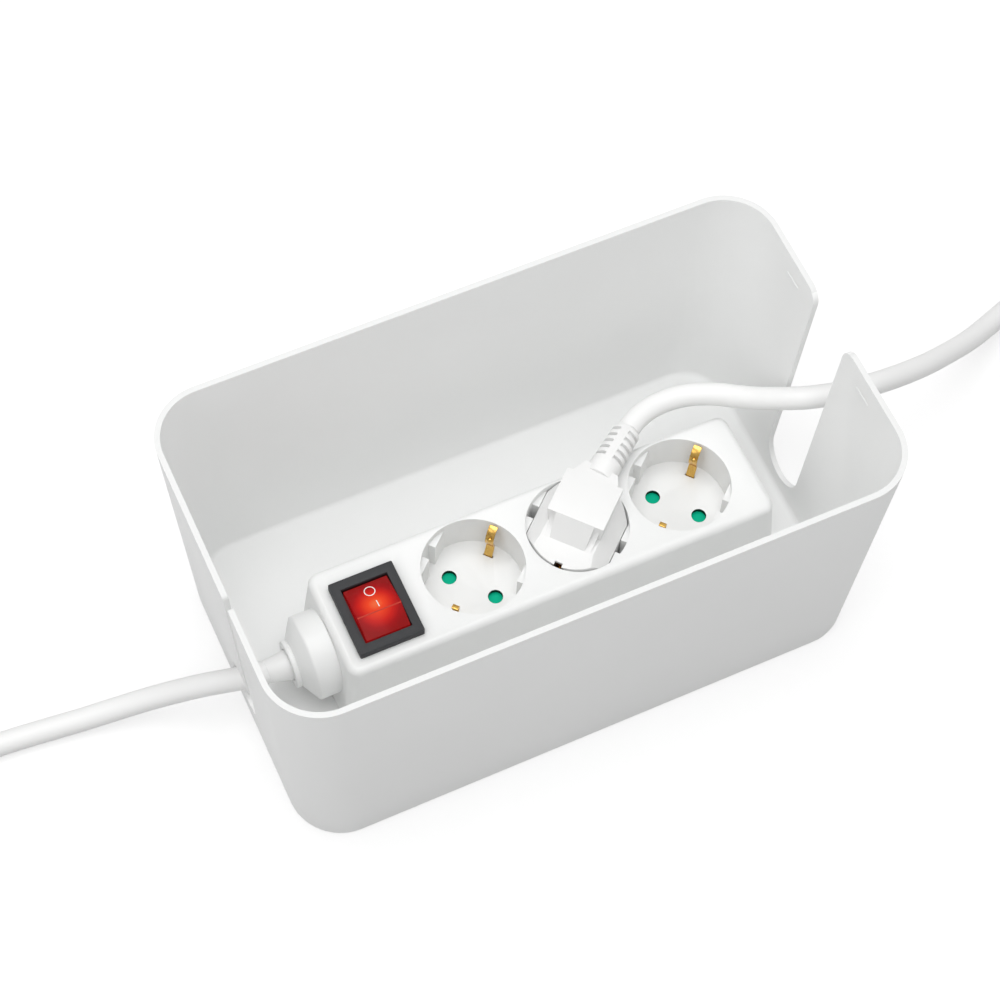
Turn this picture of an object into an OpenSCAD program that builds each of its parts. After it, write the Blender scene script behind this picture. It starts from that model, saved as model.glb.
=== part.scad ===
// Cable management box: an open tapered tub that hides a switched three-way
// socket strip, with one plug in the middle socket and both cords laid out.
// Millimetres. X runs along the length, Y to the back, Z up from the foot.

/* [Tub] */
// Outer length at the rim
tub_len = 239.5; // [225:0.5:300]
// Outer width at the rim
tub_wid = 134.5; // [110:0.5:180]
// Height from the foot to the rim
tub_h = 117.5; // [95:0.5:150]
// Wall thickness
tub_wall = 2.1; // [1.4:0.1:3]
// Floor thickness
tub_floor = 2.5; // [1.6:0.1:4]
// Outer corner radius at the rim
tub_corner = 21; // [12:1:30]
// How far each end leans in from the rim to the foot
end_draft = 6.6; // [2:0.2:8]
// How far the front and back lean in from the rim to the foot
side_draft = 2.6; // [1:0.2:5]
// Width of the open slot in the right end
slot_wid = 22.5; // [14:0.5:30]
// Place across the width of the right slot's middle
slot_y = 1.75; // [-6:0.25:6]
// Height of the lowest point of the right slot
slot_low = 9; // [5:0.5:20]
// Radius of the round cord hole in the left end
hole_r = 10.5; // [8:0.5:14]
// Place across the width of the cord hole
hole_y = -6.5; // [-9:0.5:-4]
// Height of the cord hole's middle
hole_z = 27; // [24:0.5:32]
// Width of the slit that leads down from the rim to the cord hole
slit_wid = 4; // [2:0.5:6]
// Length of each lid catch rib
catch_len = 8; // [4:0.5:12]
// How far each catch rib stands out from the wall
catch_out = 1; // [0.6:0.1:1.6]
// Depth of the catch ribs below the rim
catch_drop = 9; // [6:0.5:14]
// Distance between the middles of the two ribs on one end
catch_gap = 53; // [40:1:70]

/* [Strip] */
// Length of the flat top of the strip
strip_len = 172.3; // [168:0.5:180]
// Width of the flat top of the strip
strip_wid = 44.6; // [44:0.2:50]
// Height of the strip itself
strip_h = 39; // [36:0.5:44]
// Place along the length of the strip's middle
strip_x = 6.75; // [2:0.25:10]
// Place across the width of the strip's middle
strip_y = -2.3; // [-8:0.1:8]
// How far each end flares out towards the foot
strip_end_flare = 3.4; // [1:0.2:5]
// How far the front and back flare out towards the foot
strip_side_flare = 2; // [1:0.2:4]
// Corner radius of the housing seen from above
strip_corner = 4.5; // [3:0.5:8]
// Rounding of the housing's top edge
strip_round = 2.4; // [1:0.2:3]
// Wall thickness of the housing
strip_wall = 2; // [1.4:0.1:2.6]
// Thickness of the base plate
base_t = 2.2; // [1.6:0.1:3]
// Radius of each base screw
screw_r = 1.5; // [1:0.1:2]

/* [Sockets] */
// Distance from one socket to the next
pitch = 42.5; // [41:0.5:46]
// Distance of the last socket from the right end of the strip's top
socket_shift = 29; // [28:0.25:32]
// Radius of each socket recess
cup_r = 19.5; // [18:0.1:20]
// Depth of each socket recess
cup_deep = 17.5; // [15:0.5:20]
// Thickness of a cup's wall
cup_wall = 1.3; // [1:0.1:2]
// Thickness of a cup's floor
cup_floor = 2; // [1.4:0.1:3]
// Angle of the line through both pin holes
pin_angle = -48.5; // [-90:0.5:0]
// Distance of each pin hole from the socket's middle
pin_off = 9.5; // [9:0.1:10]
// Radius of each pin hole
pin_hole_r = 2.85; // [2.6:0.05:3.1]
// Depth of the two side rests below the strip's top
rest_deep = 3.5; // [2:0.25:6]
// Width of the gap in the middle of each side rest
guide_wid = 5.4; // [4:0.2:7]
// Thickness of the shutters
shutter_t = 1.3; // [1:0.1:1.8]
// How far an open shutter is turned
shutter_open = 40; // [38:1:50]
// Width of each earth clip
clip_wid = 3.5; // [3:0.1:5]
// Sheet thickness of the metal parts
sheet_t = 0.8; // [0.6:0.1:1.2]

/* [Switch] */
// Length of the switch bezel, across the strip
bezel_len = 30.8; // [29:0.2:33]
// Width of the switch bezel, along the strip
bezel_wid = 25.4; // [24:0.2:27]
// Height of the bezel above the housing
bezel_t = 1.8; // [1.2:0.1:2.4]
// Depth of the shallow recess round the bezel
well_deep = 1; // [0.6:0.1:1.2]
// Length of the shallow recess, across the strip
well_len = 38.5; // [36:0.5:40]
// Width of the shallow recess, along the strip
well_wid = 32.5; // [30:0.5:33]
// Distance of the switch from the left end of the strip's top
switch_shift = 18.65; // [17.5:0.05:21]
// Distance of the first socket from the switch
switch_gap = 39.65; // [38:0.05:43]
// Length of the rocker window
window_len = 23.4; // [21:0.2:25]
// Width of the rocker window
window_wid = 18.4; // [16:0.2:20]
// Play on each side between the rocker and its window
rocker_play = 0.4; // [0.3:0.05:0.6]
// Radius of the rocker's pivot pins
pivot_r = 1.5; // [1:0.1:2]
// Play of a pivot pin in its bore
pivot_play = 0.06; // [0.04:0.01:0.09]
// How far the rocker tips from on to off
rocker_tip = 14; // [8:1:14]
// Angle of the rocker's two faces, each way
rocker_slope = 16.5; // [12:0.5:18]

/* [Plug] */
// Radius of the plug's round base
plug_r = 18.9; // [18:0.1:19.2]
// Height of the plug's round base
plug_base_h = 19.5; // [18:0.5:22]
// Half width across the base's two flats
plug_flat = 16.3; // [15.5:0.1:16.5]
// Height of the grip above the base
grip_h = 8.3; // [6:0.1:12]
// Half width of the grip at its top
grip_half = 11.2; // [9:0.2:12]
// How far the base's top slopes down to the two flats
flank_drop = 5.5; // [3:0.5:8]
// Radius of each pin
pin_r = 2.4; // [2.3:0.05:2.4]
// Length of each pin
pin_len = 19; // [18:0.5:19]
// Gap between facing surfaces that may slide
seat_gap = 0.3; // [0.25:0.05:0.5]
// How far the plug can be pulled up
plug_pull = 45; // [30:1:60]

/* [Cords] */
// Diameter of both cords
cord_d = 8.8; // [6:0.2:10]
// Middle radius of each coil
coil_r = 42; // [36:1:50]
// Half the thickness of a coil across its turns
coil_half = 14; // [10:0.5:17]
// Height of each coil
coil_h = 18; // [14:0.5:24]
// Width of each coil tie
tie_wid = 12; // [8:1:18]
// Radius of the gland collar
gland_r = 16.4; // [14:0.2:17]
// Radius of the gland ring
ring_r = 9; // [7:0.2:11]

/* [Hidden] */

white = [0.95, 0.95, 0.94];
soft_white = [0.93, 0.93, 0.92];
brass = [0.80, 0.62, 0.25];
teal = [0.08, 0.72, 0.58];
dark_grey = [0.27, 0.29, 0.29];
rocker_red = [0.85, 0.08, 0.06];
steel = [0.72, 0.73, 0.75];
eps = 0.01;
cut = 1;

// Strip levels and socket places
z0 = tub_floor;
strip_top = z0 + strip_h;
cup_z = strip_top - cup_deep;
under_cup = cup_z - cup_floor;
shut_z = under_cup - seat_gap - shutter_t;
slack = (strip_len - switch_shift - switch_gap - 2 * pitch - socket_shift) / 4;
switch_x = strip_x - strip_len / 2 + switch_shift;
SX = [for (i = [0:2]) switch_x + switch_gap + slack + i * (pitch + slack)];
socket_y = strip_y + 1;
rest_in = plug_flat + seat_gap;
base_top = z0 + base_t;
foot_x = strip_len / 2 + strip_end_flare;
foot_y = strip_wid / 2 + strip_side_flare;
left_face = strip_x - foot_x;
post_y = cup_r * 0.81;
post_r = 2 * screw_r + 0.1;
screw_in = 6 * screw_r;
// Metalwork levels
bar_z = base_top + 1.3;
sleeve_r = pin_r + 0.35;
sleeve_top = shut_z - 0.6;
bridge_z = shut_z - 2.4;
blade_r = 16.2;
reach = blade_r + 2.3;
clip_in = 14.2;
function foot_of(x) = x == SX[1] ? reach - sheet_t : clip_in;
// Switch
switch_y = strip_y - 0.85;
window_y = switch_y - 0.1;
bezel_top = strip_top + bezel_t;
pivot_z = bezel_top - 5.2;
rock_len = window_len - 2 * rocker_play;
rock_wid = window_wid - 2 * rocker_play;
body_deep = 14;
well_wall = 1.6;
seat_z = strip_top - well_deep;
lay_r = coil_r + cord_d + 0.4;
// Gland
gland_y = -2.2;
gland_z = 22;
collar_end = left_face - 6.4;
ring_end = collar_end - 6.6;
lip = 1.8;
sleeve_in = left_face + 13;
cord_r = cord_d / 2;
// Height of a cord's middle where it lies on the table
lie = cord_r + 0.2;
// Plug
plug_x = SX[1];
cord_angle = pin_angle + 90;
plug_z = cup_z + seat_gap;
plug_top = plug_z + plug_base_h;
grip_top = plug_top + grip_h;
relief_z = grip_top - 4.1;
relief_root = 14;
relief_turn = -5;
relief_from = 6.5;
relief_to = 27.4;
neck_end = relief_from - 0.02;
grip_foot = grip_half - 0.7;
grip_front = -3.6;
nose = -10.4;

// Route of the supply cord: ring end, tub hole, down to the table, coil
supply_way = [[-104.3, -2.2, 23.6], [-109, -2.1, 24.4], [-114, -1.4, 24.7], [-119, -0.1, 24.3],
              [-126, 2.3, 22.5], [-134, 5.2, 19.2], [-146, 9.5, 13.3], [-158, 12.8, 8.4],
              [-172, 15.2, lie + 0.9], [-186, 17, lie + 0.1], [-203, 18.5, lie], [-222, 19, lie],
              [-241.5, 19, lie]];
// Its first stretch moves with the gland ring
ring_move = ring_end - 8.5 - supply_way[0][0];
supply_pts = [for (p = supply_way) p + [ring_move * max(0, 1 - (supply_way[0][0] - p[0]) / 54), 0, 0]];
supply_mid = [-278, -23];
// Route of the device cord: plug, over the right slot, down to the table, coil
device_pts = [[54.1, 24.4, 48], [55.33, 25.26, 48], [60.1, 27.9, 48], [66.8, 29.9, 48], [73.8, 30.3, 48.1],
              [80.7, 29.2, 48.4], [87.1, 26.6, 49.2], [92.9, 22.9, 50.5], [98.1, 18.5, 52.2],
              [103, 14.2, 54.6], [107.6, 10.1, 57.6], [112.9, 6.3, 60.1], [118.2, 3.6, 61.3],
              [131, 0.6, 60.8], [145, 1, 57], [159, 3.6, 50], [174, 7.6, 41.6],
              [190, 13.6, 31.2], [206, 20.4, 20.7], [222, 28, 11.9], [238, 35, 6.5],
              [253, 39.8, lie + 0.2], [269, 41.7, lie]];
device_mid = [305, 0];
// Ties
tie_t = 1.4;
tie_gap = 0.1;
supply_tie_turn = 200;
device_tie_turn = 20;

// Plate with round corners, centred
module plate(l, w, h, r) {
  linear_extrude(height = h) {
    square([l - 2 * r, w], center = true);
    square([l, w - 2 * r], center = true);
    for (sx = [-1, 1], sy = [-1, 1])
      translate([sx * (l / 2 - r), sy * (w / 2 - r)])
        circle(r = r, $fn = 64);
  }
}

// Tub shell surface, leaning in towards the foot, moved in by d
module tub_form(d, z) {
  k = 1 - z / tub_h;
  fl = tub_len - 2 * end_draft * k - 2 * d;
  fw = tub_wid - 2 * side_draft * k - 2 * d;
  hull() {
    translate([0, 0, z])
      plate(fl, fw, eps, tub_corner - d - 3 * k);
    translate([0, 0, tub_h + (d > 0 ? cut : -eps)])
      plate(tub_len - 2 * d, tub_wid - 2 * d, eps, tub_corner - d);
  }
}

module box_tub() color(white) {
  difference() {
    union() {
      difference() {
        tub_form(0, 0);
        tub_form(tub_wall, tub_floor);
      }
      for (sx = [-1, 1], sy = [-1, 1])
        translate([sx * (tub_len / 2 - tub_wall - end_draft * catch_drop / tub_h),
                   1 + sy * catch_gap / 2, tub_h - catch_drop])
          rotate([90, 0, 0])
            cylinder(r = catch_out, h = catch_len, center = true, $fn = 24);
    }
    translate([tub_len / 2 - tub_corner, slot_y, slot_low + slot_wid / 2]) {
      rotate([0, 90, 0])
        cylinder(d = slot_wid, h = tub_corner + cut, $fn = 64);
      translate([0, -slot_wid / 2, 0])
        cube([tub_corner + cut, slot_wid, tub_h]);
    }
    translate([-tub_len / 2 - cut, hole_y, hole_z]) {
      rotate([0, 90, 0])
        cylinder(r = hole_r, h = tub_corner + cut, $fn = 64);
      translate([0, -hole_r, 0])
        cube([tub_corner + cut, slit_wid, tub_h]);
    }
  }
}

// Housing surface moved in by d, from height za up
module housing_form(d, za, top) {
  k = 1 - (za - z0) / (strip_h - strip_round);
  r = strip_corner - d * 0.6;
  hull() {
    translate([0, 0, za])
      plate(2 * (strip_len / 2 + strip_end_flare * k - d), 2 * (strip_wid / 2 + strip_side_flare * k - d),
            eps, r);
    translate([0, 0, top - strip_round])
      plate(strip_len - 2 * d, strip_wid - 2 * d, eps, r);
    translate([0, 0, top - strip_round * 0.3])
      plate(strip_len - 2 * d - 1.4, strip_wid - 2 * d - 1.4, eps, r - 0.5);
    translate([0, 0, top - eps])
      plate(strip_len - 2 * d - 1.4 * strip_round, strip_wid - 2 * d - 1.4 * strip_round, eps, r - 1);
  }
}

// Screw posts and their places
module at_posts() {
  for (x = [(SX[0] + SX[1]) / 2, (SX[1] + SX[2]) / 2], sy = [-1, 1])
    translate([x, socket_y + sy * post_y, 0])
      children();
}

// Places of the two pins of the socket at x
module at_pins(x) {
  for (s = [-1, 1])
    translate([x + s * pin_off * cos(pin_angle), socket_y + s * pin_off * sin(pin_angle), 0])
      children();
}

module strip_housing() color(white) {
  difference() {
    union() {
      difference() {
        translate([strip_x, strip_y, 0])
          housing_form(0, z0 + seat_gap, strip_top);
        translate([strip_x, strip_y, 0])
          housing_form(strip_wall, z0 - cut, strip_top - strip_wall);
      }
      for (x = SX)
        translate([x, socket_y, under_cup])
          cylinder(r = cup_r + cup_wall, h = strip_top - under_cup - 0.6, $fn = 96);
      at_posts()
        translate([0, 0, base_top])
          cylinder(r = post_r, h = strip_top - strip_wall - base_top + 0.5, $fn = 32);
      for (x = SX)
        translate([x, socket_y, shut_z - 0.2])
          cylinder(r = 1.9, h = under_cup - shut_z + 0.7, $fn = 32);
    }
    for (x = SX) {
      difference() {
        translate([x, socket_y, cup_z])
          cylinder(r = cup_r, h = cup_deep + cut, $fn = 96);
        translate([x, socket_y, cup_z - cut])
          rotate([0, 0, pin_angle])
            for (s = [-1, 1], t = [-1, 1])
              translate([s * (rest_in + cup_r / 2), t * (guide_wid + cup_r) / 2, 0])
                translate([-cup_r / 2, -cup_r / 2, 0])
                  cube([cup_r, cup_r, cup_deep - rest_deep + cut]);
      }
      at_pins(x)
        translate([0, 0, under_cup - cut])
          cylinder(r = pin_hole_r, h = cup_floor + 2 * cut, $fn = 48);
      translate([x, socket_y, 0])
        rotate([0, 0, pin_angle + 90])
          for (s = [-1, 1])
            translate([s * (foot_of(x) + sheet_t / 2), 0, under_cup + cup_floor / 2])
              cube([sheet_t + 2 * seat_gap, clip_wid + 2 * seat_gap, cup_floor + 2 * cut], center = true);
    }
    at_posts()
      translate([0, 0, base_top - cut])
        cylinder(r = screw_r, h = screw_in + 2 + cut, $fn = 32);
    translate([switch_x, switch_y, strip_top])
      cube([bezel_wid - 3, bezel_len - 3, 4 * strip_wall], center = true);
    translate([switch_x, strip_y - 0.45, seat_z])
      plate(well_wid, well_len, well_deep + cut, 2);
    translate([left_face - 4, gland_y, gland_z])
      rotate([0, 90, 0])
        cylinder(r = ring_r, h = 12, $fn = 64);
  }
}

module strip_base() color(soft_white) {
  difference() {
    translate([strip_x, strip_y, z0])
      plate(2 * (foot_x - strip_wall - 0.6), 2 * (foot_y - strip_wall - 0.6), base_t, strip_corner - 1.5);
    at_posts()
      translate([0, 0, z0 - cut]) {
        cylinder(r = screw_r + 0.1, h = base_t + 2 * cut, $fn = 32);
        cylinder(r = 2 * screw_r + 0.1, h = cut + base_t / 2, $fn = 32);
      }
  }
}

module base_screws() color(steel) {
  at_posts()
    translate([0, 0, z0 + 0.2])
      difference() {
        union() {
          cylinder(r = 2 * screw_r, h = base_t / 2 - 0.2, $fn = 32);
          cylinder(r = screw_r, h = base_t + screw_in, $fn = 32);
        }
        translate([-2, -0.3, -cut])
          cube([4, 0.6, cut + 0.5]);
      }
}

// Shutter: a hub with two arms that cover the pin holes
module shutter(x, turn) {
  translate([x, socket_y, shut_z])
    rotate([0, 0, pin_angle + turn])
      difference() {
        union() {
          cylinder(r = 4.2, h = shutter_t, $fn = 48);
          for (s = [-1, 1])
            translate([s * pin_off, 0, 0])
              cylinder(r = 3.1, h = shutter_t, $fn = 48);
          translate([-pin_off, -2.2, 0])
            cube([2 * pin_off, 4.4, shutter_t]);
        }
        translate([0, 0, -cut])
          cylinder(r = 1.96, h = shutter_t + 2 * cut, $fn = 32);
      }
}
module shutter_1() color(teal) shutter(SX[0], 0);
module shutter_2() color(teal) shutter(SX[1], shutter_open);
module shutter_3() color(teal) shutter(SX[2], 0);

// Earth clip: a bent strip whose two blades rise in the recess. A plug pushes them out.
free_side = [[clip_in, bridge_z], [clip_in, cup_z], [clip_in + 1, cup_z + 8.5], [clip_in + 0.8, cup_z + 13],
             [clip_in + 1.1, cup_z + 15], [clip_in + 2.8, cup_z + 16.4], [clip_in + 4.7, cup_z + 16.6],
             [clip_in + 4.7, cup_z + 15.8], [clip_in + 3.1, cup_z + 15.6], [clip_in + 1.9, cup_z + 14.6],
             [clip_in + 1.6, cup_z + 13], [clip_in + 1.8, cup_z + 8.5], [clip_in + sheet_t, cup_z],
             [clip_in + sheet_t, bridge_z + sheet_t]];
pushed_side = [[reach - sheet_t, bridge_z], [reach - sheet_t, cup_z + 1.8], [blade_r, cup_z + 7.6],
               [blade_r, cup_z + 10.4], [reach - sheet_t, strip_top - 5], [reach, strip_top - 5],
               [blade_r + sheet_t, cup_z + 10], [blade_r + sheet_t, cup_z + 8], [reach, cup_z + 2],
               [reach, bridge_z + sheet_t]];
module earth_clip(x, side)
  translate([x, socket_y, 0])
    rotate([90, 0, pin_angle + 90])
      linear_extrude(height = clip_wid, center = true) {
        for (s = [-1, 1])
          scale([s, 1])
            polygon(side);
        translate([-side[0][0], bridge_z])
          square([2 * side[0][0], sheet_t]);
      }
module earth_clip_1() color(brass) earth_clip(SX[0], free_side);
module earth_clip_2() color(brass) earth_clip(SX[1], pushed_side);
module earth_clip_3() color(brass) earth_clip(SX[2], free_side);

bar_left = SX[0] - 21;
module earth_bar() color(brass)
  translate([bar_left, socket_y - 2, bridge_z - sheet_t])
    cube([SX[2] - bar_left + 5, 4, sheet_t]);

// Contact bar with one open sleeve under each pin hole
module contact_bar(s) {
  y = socket_y + s * pin_off * sin(pin_angle);
  dx = s * pin_off * cos(pin_angle);
  difference() {
    union() {
      translate([bar_left, y - 2.5, bar_z])
        cube([SX[2] + dx - bar_left, 5, sheet_t]);
      for (x = SX)
        translate([x + dx, y, bar_z])
          cylinder(r = sleeve_r + 0.7, h = sleeve_top - bar_z, $fn = 48);
    }
    for (x = SX)
      translate([x + dx, y, bar_z - cut])
        cylinder(r = sleeve_r, h = sleeve_top - bar_z + 2 * cut, $fn = 48);
  }
}
module live_bar() color(brass) contact_bar(1);
module neutral_bar() color(brass) contact_bar(-1);

module switch_bezel() color(dark_grey)
  difference() {
    union() {
      translate([switch_x, switch_y, seat_z])
        plate(bezel_wid, bezel_len, bezel_t + well_deep, 1.2);
      translate([switch_x, window_y, bezel_top - body_deep])
        translate([-window_wid / 2 - well_wall, -window_len / 2 - well_wall, 0])
          cube([window_wid + 2 * well_wall, window_len + 2 * well_wall, body_deep - eps]);
    }
    translate([switch_x, window_y, bezel_top - body_deep + well_wall])
      translate([-window_wid / 2, -window_len / 2, 0])
        cube([window_wid, window_len, body_deep]);
    translate([switch_x, window_y, pivot_z])
      rotate([0, 90, 0])
        cylinder(r = pivot_r + pivot_play, h = 2 * window_wid, center = true, $fn = 48);
    for (sx = [-1, 1], sy = [-1, 1])
      translate([switch_x + sx * 4, window_y + sy * 6, bezel_top - body_deep - cut])
        cylinder(r = 1.6, h = well_wall + 2 * cut, $fn = 24);
  }

module switch_rocker() color(rocker_red) {
  half = rock_len / 2;
  rise = half * tan(rocker_slope);
  ridge = bezel_top + 3;
  translate([switch_x, window_y, 0])
    rotate([90, 0, 90])
      linear_extrude(height = rock_wid, center = true)
        polygon([[-half, ridge - rise + 0.8], [-0.8, ridge], [half - 0.5, ridge - rise - 0.9],
                 [half - 0.8, ridge - rise - 3.6], [3.4, pivot_z - 2.6], [-3.4, pivot_z - 2.6],
                 [-half + 0.4, ridge - rise - 2.6]]);
  translate([switch_x, window_y, pivot_z])
    rotate([0, 90, 0])
      cylinder(r = pivot_r, h = rock_wid + 2 * (rocker_play + well_wall) - 0.1, center = true, $fn = 48);
}

module switch_terminals() color(brass)
  for (sx = [-1, 1], sy = [-1, 1])
    translate([switch_x + sx * 4, window_y + sy * 6, bezel_top - body_deep - 6])
      cylinder(r = 1.5, h = 7 + well_wall, $fn = 24);

module switch_lamp() color([1, 0.45, 0.1])
  translate([switch_x, window_y, bezel_top - body_deep + well_wall])
    cylinder(r = 1.6, h = 2.4, $fn = 24);

// Gland collar: a round boss up against the end wall that narrows to the ring
cone_end = ring_end + lip;
module gland_collar() color(white)
  difference() {
    intersection() {
      translate([cone_end, gland_y, gland_z])
        rotate([0, 90, 0]) {
          cylinder(r1 = ring_r - 0.5, r2 = gland_r, h = collar_end - cone_end, $fn = 96);
          translate([0, 0, collar_end - cone_end])
            cylinder(r = gland_r, h = 14, $fn = 96);
        }
      translate([cone_end - cut, gland_y - gland_r, z0 + 2.6])
        cube([26, 2 * gland_r, 2 * gland_r + 2]);
    }
    translate([strip_x, strip_y, 0])
      housing_form(-0.15, z0, strip_top + 0.15);
    translate([cone_end - cut, gland_y, gland_z])
      rotate([0, 90, 0])
        cylinder(r = cord_r + 0.4, h = 26, $fn = 48);
  }

// Gland ring: the lip that the sleeve comes out of
module gland_ring() color(white)
  difference() {
    translate([ring_end, gland_y, gland_z])
      rotate([0, 90, 0]) {
        cylinder(r = ring_r - 0.6, h = 0.6, $fn = 64);
        translate([0, 0, 0.6])
          cylinder(r = ring_r, h = lip - 0.6, $fn = 64);
      }
    translate([ring_end - cut, gland_y, gland_z])
      rotate([0, 90, 0])
        cylinder(r = cord_r + 0.4, h = 20, $fn = 48);
  }

// Sleeve that carries the cord from the clamp out through the ring
module cord_sleeve() color(soft_white)
  tube([[sleeve_in, gland_y, gland_z], [ring_end + 1, gland_y, gland_z],
        [ring_end - 3.5, gland_y, gland_z + 0.6], supply_pts[0]], cord_r + 0.2, 16);

clamp_x = left_face + 9;
clamp_top = gland_z + 6.5;
clamp_y = 8.5;
module cord_clamp() color(soft_white)
  difference() {
    translate([clamp_x - 3, gland_y - 12, base_top])
      cube([6, 24, clamp_top - base_top]);
    translate([clamp_x, gland_y, gland_z])
      rotate([0, 90, 0])
        cylinder(r = cord_r + 0.25, h = 20, center = true, $fn = 48);
    for (s = [-1, 1])
      translate([clamp_x, gland_y + s * clamp_y, clamp_top - 16])
        cylinder(r = 1.3, h = 20, $fn = 24);
  }

module clamp_screws() color(steel)
  for (s = [-1, 1])
    translate([clamp_x, gland_y + s * clamp_y, clamp_top])
      difference() {
        union() {
          translate([0, 0, -15])
            cylinder(r = 1.3, h = 15.2, $fn = 24);
          cylinder(r = 2.1, h = 1.4, $fn = 32);
        }
        translate([-3, -0.35, 0.9])
          cube([6, 0.7, cut]);
      }

// Round tube swept along points, its rings square to the path
function unit(v) = v / norm(v);
function way(p, i) = unit(p[min(i + 1, len(p) - 1)] - p[max(i - 1, 0)]);
module tube(p, r, n) {
  m = len(p);
  rings = [for (i = [0:m - 1])
    let (t = way(p, i), a = unit(cross(t, [0.05, 0.1, 1])), b = cross(a, t))
      for (k = [0:n - 1]) p[i] + r * (a * cos(360 * k / n) + b * sin(360 * k / n))];
  sides = [for (i = [0:m - 2], k = [0:n - 1])
    [i * n + k, (i + 1) * n + k, (i + 1) * n + (k + 1) % n, i * n + (k + 1) % n]];
  ends = [[for (k = [0:n - 1]) k], [for (k = [n - 1:-1:0]) (m - 1) * n + k]];
  polyhedron(points = rings, faces = concat(sides, ends), convexity = 6);
}

wire_start = sleeve_in - 0.1;
wire_r = 1.2;
low_z = gland_z - 2.6;
terminal_z = bezel_top - body_deep - 6;
// Two runs: gland to switch at side s, then switch to the contact bar
module mains_wire(s) {
  y = window_y + s * 6;
  bar_y = socket_y - s * pin_off * sin(pin_angle);
  tube([[wire_start, gland_y + s * 2, gland_z - 1], [wire_start + 1.8, gland_y + s * 3.2, low_z + 0.2],
        [switch_x - 5.5, y - s * 0.9, low_z + 0.1], [switch_x - 4.3, y, terminal_z - 1.3],
        [switch_x - 4, y, terminal_z + 0.1]], wire_r, 8);
  tube([[switch_x + 4, y, terminal_z + 0.1], [switch_x + 4.6, y, terminal_z - 3],
        [switch_x + 8, y, (terminal_z + bar_z) / 2], [bar_left - 5, bar_y, bar_z + 1.6],
        [bar_left + 0.1, bar_y, bar_z + 0.4]], wire_r, 8);
}
module wire_live() color([0.45, 0.25, 0.12]) mains_wire(-1);
module wire_neutral() color([0.2, 0.35, 0.75]) mains_wire(1);
module wire_earth() color([0.4, 0.65, 0.15])
  tube([[wire_start, gland_y, low_z - 0.2], [wire_start + 7, gland_y + 0.4, bridge_z - 0.9],
        [bar_left - 8, socket_y, bridge_z - 0.9], [bar_left - 3, socket_y, bridge_z - 0.5],
        [bar_left + 0.1, socket_y, bridge_z - 0.4]], wire_r, 8);

// Coil of turns as one ring with soft edges
module coil(mid) {
  translate([mid[0], mid[1], 0])
    rotate_extrude($fn = 96)
      translate([coil_r - coil_half, 0])
        polygon([[3, 0], [2 * coil_half - 3, 0], [2 * coil_half, 4], [2 * coil_half, coil_h - 4],
                 [2 * coil_half - 3, coil_h], [3, coil_h], [0, coil_h - 4], [0, 4]]);
}
// Flat tie bent over a coil at one place
module tie(mid, turn) {
  out = 2 * coil_half + tie_gap;
  top = coil_h + tie_gap;
  translate([mid[0], mid[1], 0])
    rotate([0, 0, turn])
      intersection() {
        rotate_extrude($fn = 96)
          translate([coil_r - coil_half, 0])
            polygon([[-tie_gap - tie_t, 0], [-tie_gap, 0], [-tie_gap, top], [out, top], [out, 0],
                     [out + tie_t, 0], [out + tie_t, top + tie_t], [-tie_gap - tie_t, top + tie_t]]);
        translate([0, -tie_wid / 2, -cut])
          cube([coil_r + 2 * coil_half, tie_wid, 2 * coil_h]);
      }
}

module supply_cord() color(white) tube(supply_pts, cord_r, 10);
module supply_coil() color(white) coil(supply_mid);
module supply_tie() color(dark_grey) tie(supply_mid, supply_tie_turn);

// Straight plug on the end of the supply cord, pointing away from the coil
lay_x = sqrt(pow(coil_r + coil_half, 2) - pow(lay_r, 2));
end_x = supply_mid[0] - lay_x;
end_y = supply_mid[1] + lay_r;
end_z = plug_r;
relief_len = 31;
body_len = 34;
module supply_plug_relief() color(white)
  tube([[end_x + 1, end_y, cord_r], [end_x - 7, end_y, cord_r + 0.4],
        [end_x - 14, end_y, cord_r + 2], [end_x - 22, end_y, cord_r + 5.6],
        [end_x - relief_len, end_y, cord_r + 10.4]], cord_r + eps, 10);
module supply_plug_body() color(white)
  translate([end_x - relief_len, end_y, end_z])
    rotate([0, -90, 0])
      difference() {
        union() {
          cylinder(r1 = 9, r2 = 13, h = 6, $fn = 64);
          translate([0, 0, 6])
            cylinder(r = 13, h = body_len - 6, $fn = 64);
          translate([0, 0, body_len - 12])
            cylinder(r = plug_r, h = 12, $fn = 96);
        }
        for (s = [-1, 1])
          translate([0, s * (plug_r + 1.6), body_len - 4])
            cube([9, 5, 20], center = true);
      }
module supply_plug_pins() color(steel)
  for (s = [-1, 1])
    translate([end_x - relief_len - body_len, end_y, end_z + s * pin_off])
      rotate([0, -90, 0]) {
        cylinder(r = pin_r, h = pin_len - 1, $fn = 48);
        translate([0, 0, pin_len - 1])
          cylinder(r1 = pin_r, r2 = pin_r - 0.8, h = 1, $fn = 48);
      }
module supply_plug_earth() color(brass)
  for (s = [-1, 1])
    translate([end_x - relief_len - body_len + 5, end_y + s * (plug_r - 0.5), end_z])
      cube([9, 0.8, 8], center = true);

// Plug in the middle socket, its cord leaving sideways
module at_plug() {
  translate([plug_x, socket_y, 0])
    rotate([0, 0, cord_angle])
      children();
}
groove_in = blade_r - 0.4;
groove_top = plug_top - 2.8;
// Solid across the plug from side to side, with the outline given as places along it and heights
module across(half, outline)
  rotate([90, 0, 0])
    linear_extrude(height = 2 * half, center = true)
      polygon(outline);

// Corner of the neck's end face, which is square to the relief
function beside_relief(t) = [relief_root + neck_end * cos(relief_turn) - t * sin(relief_turn),
                             neck_end * sin(relief_turn) + t * cos(relief_turn)];

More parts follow.
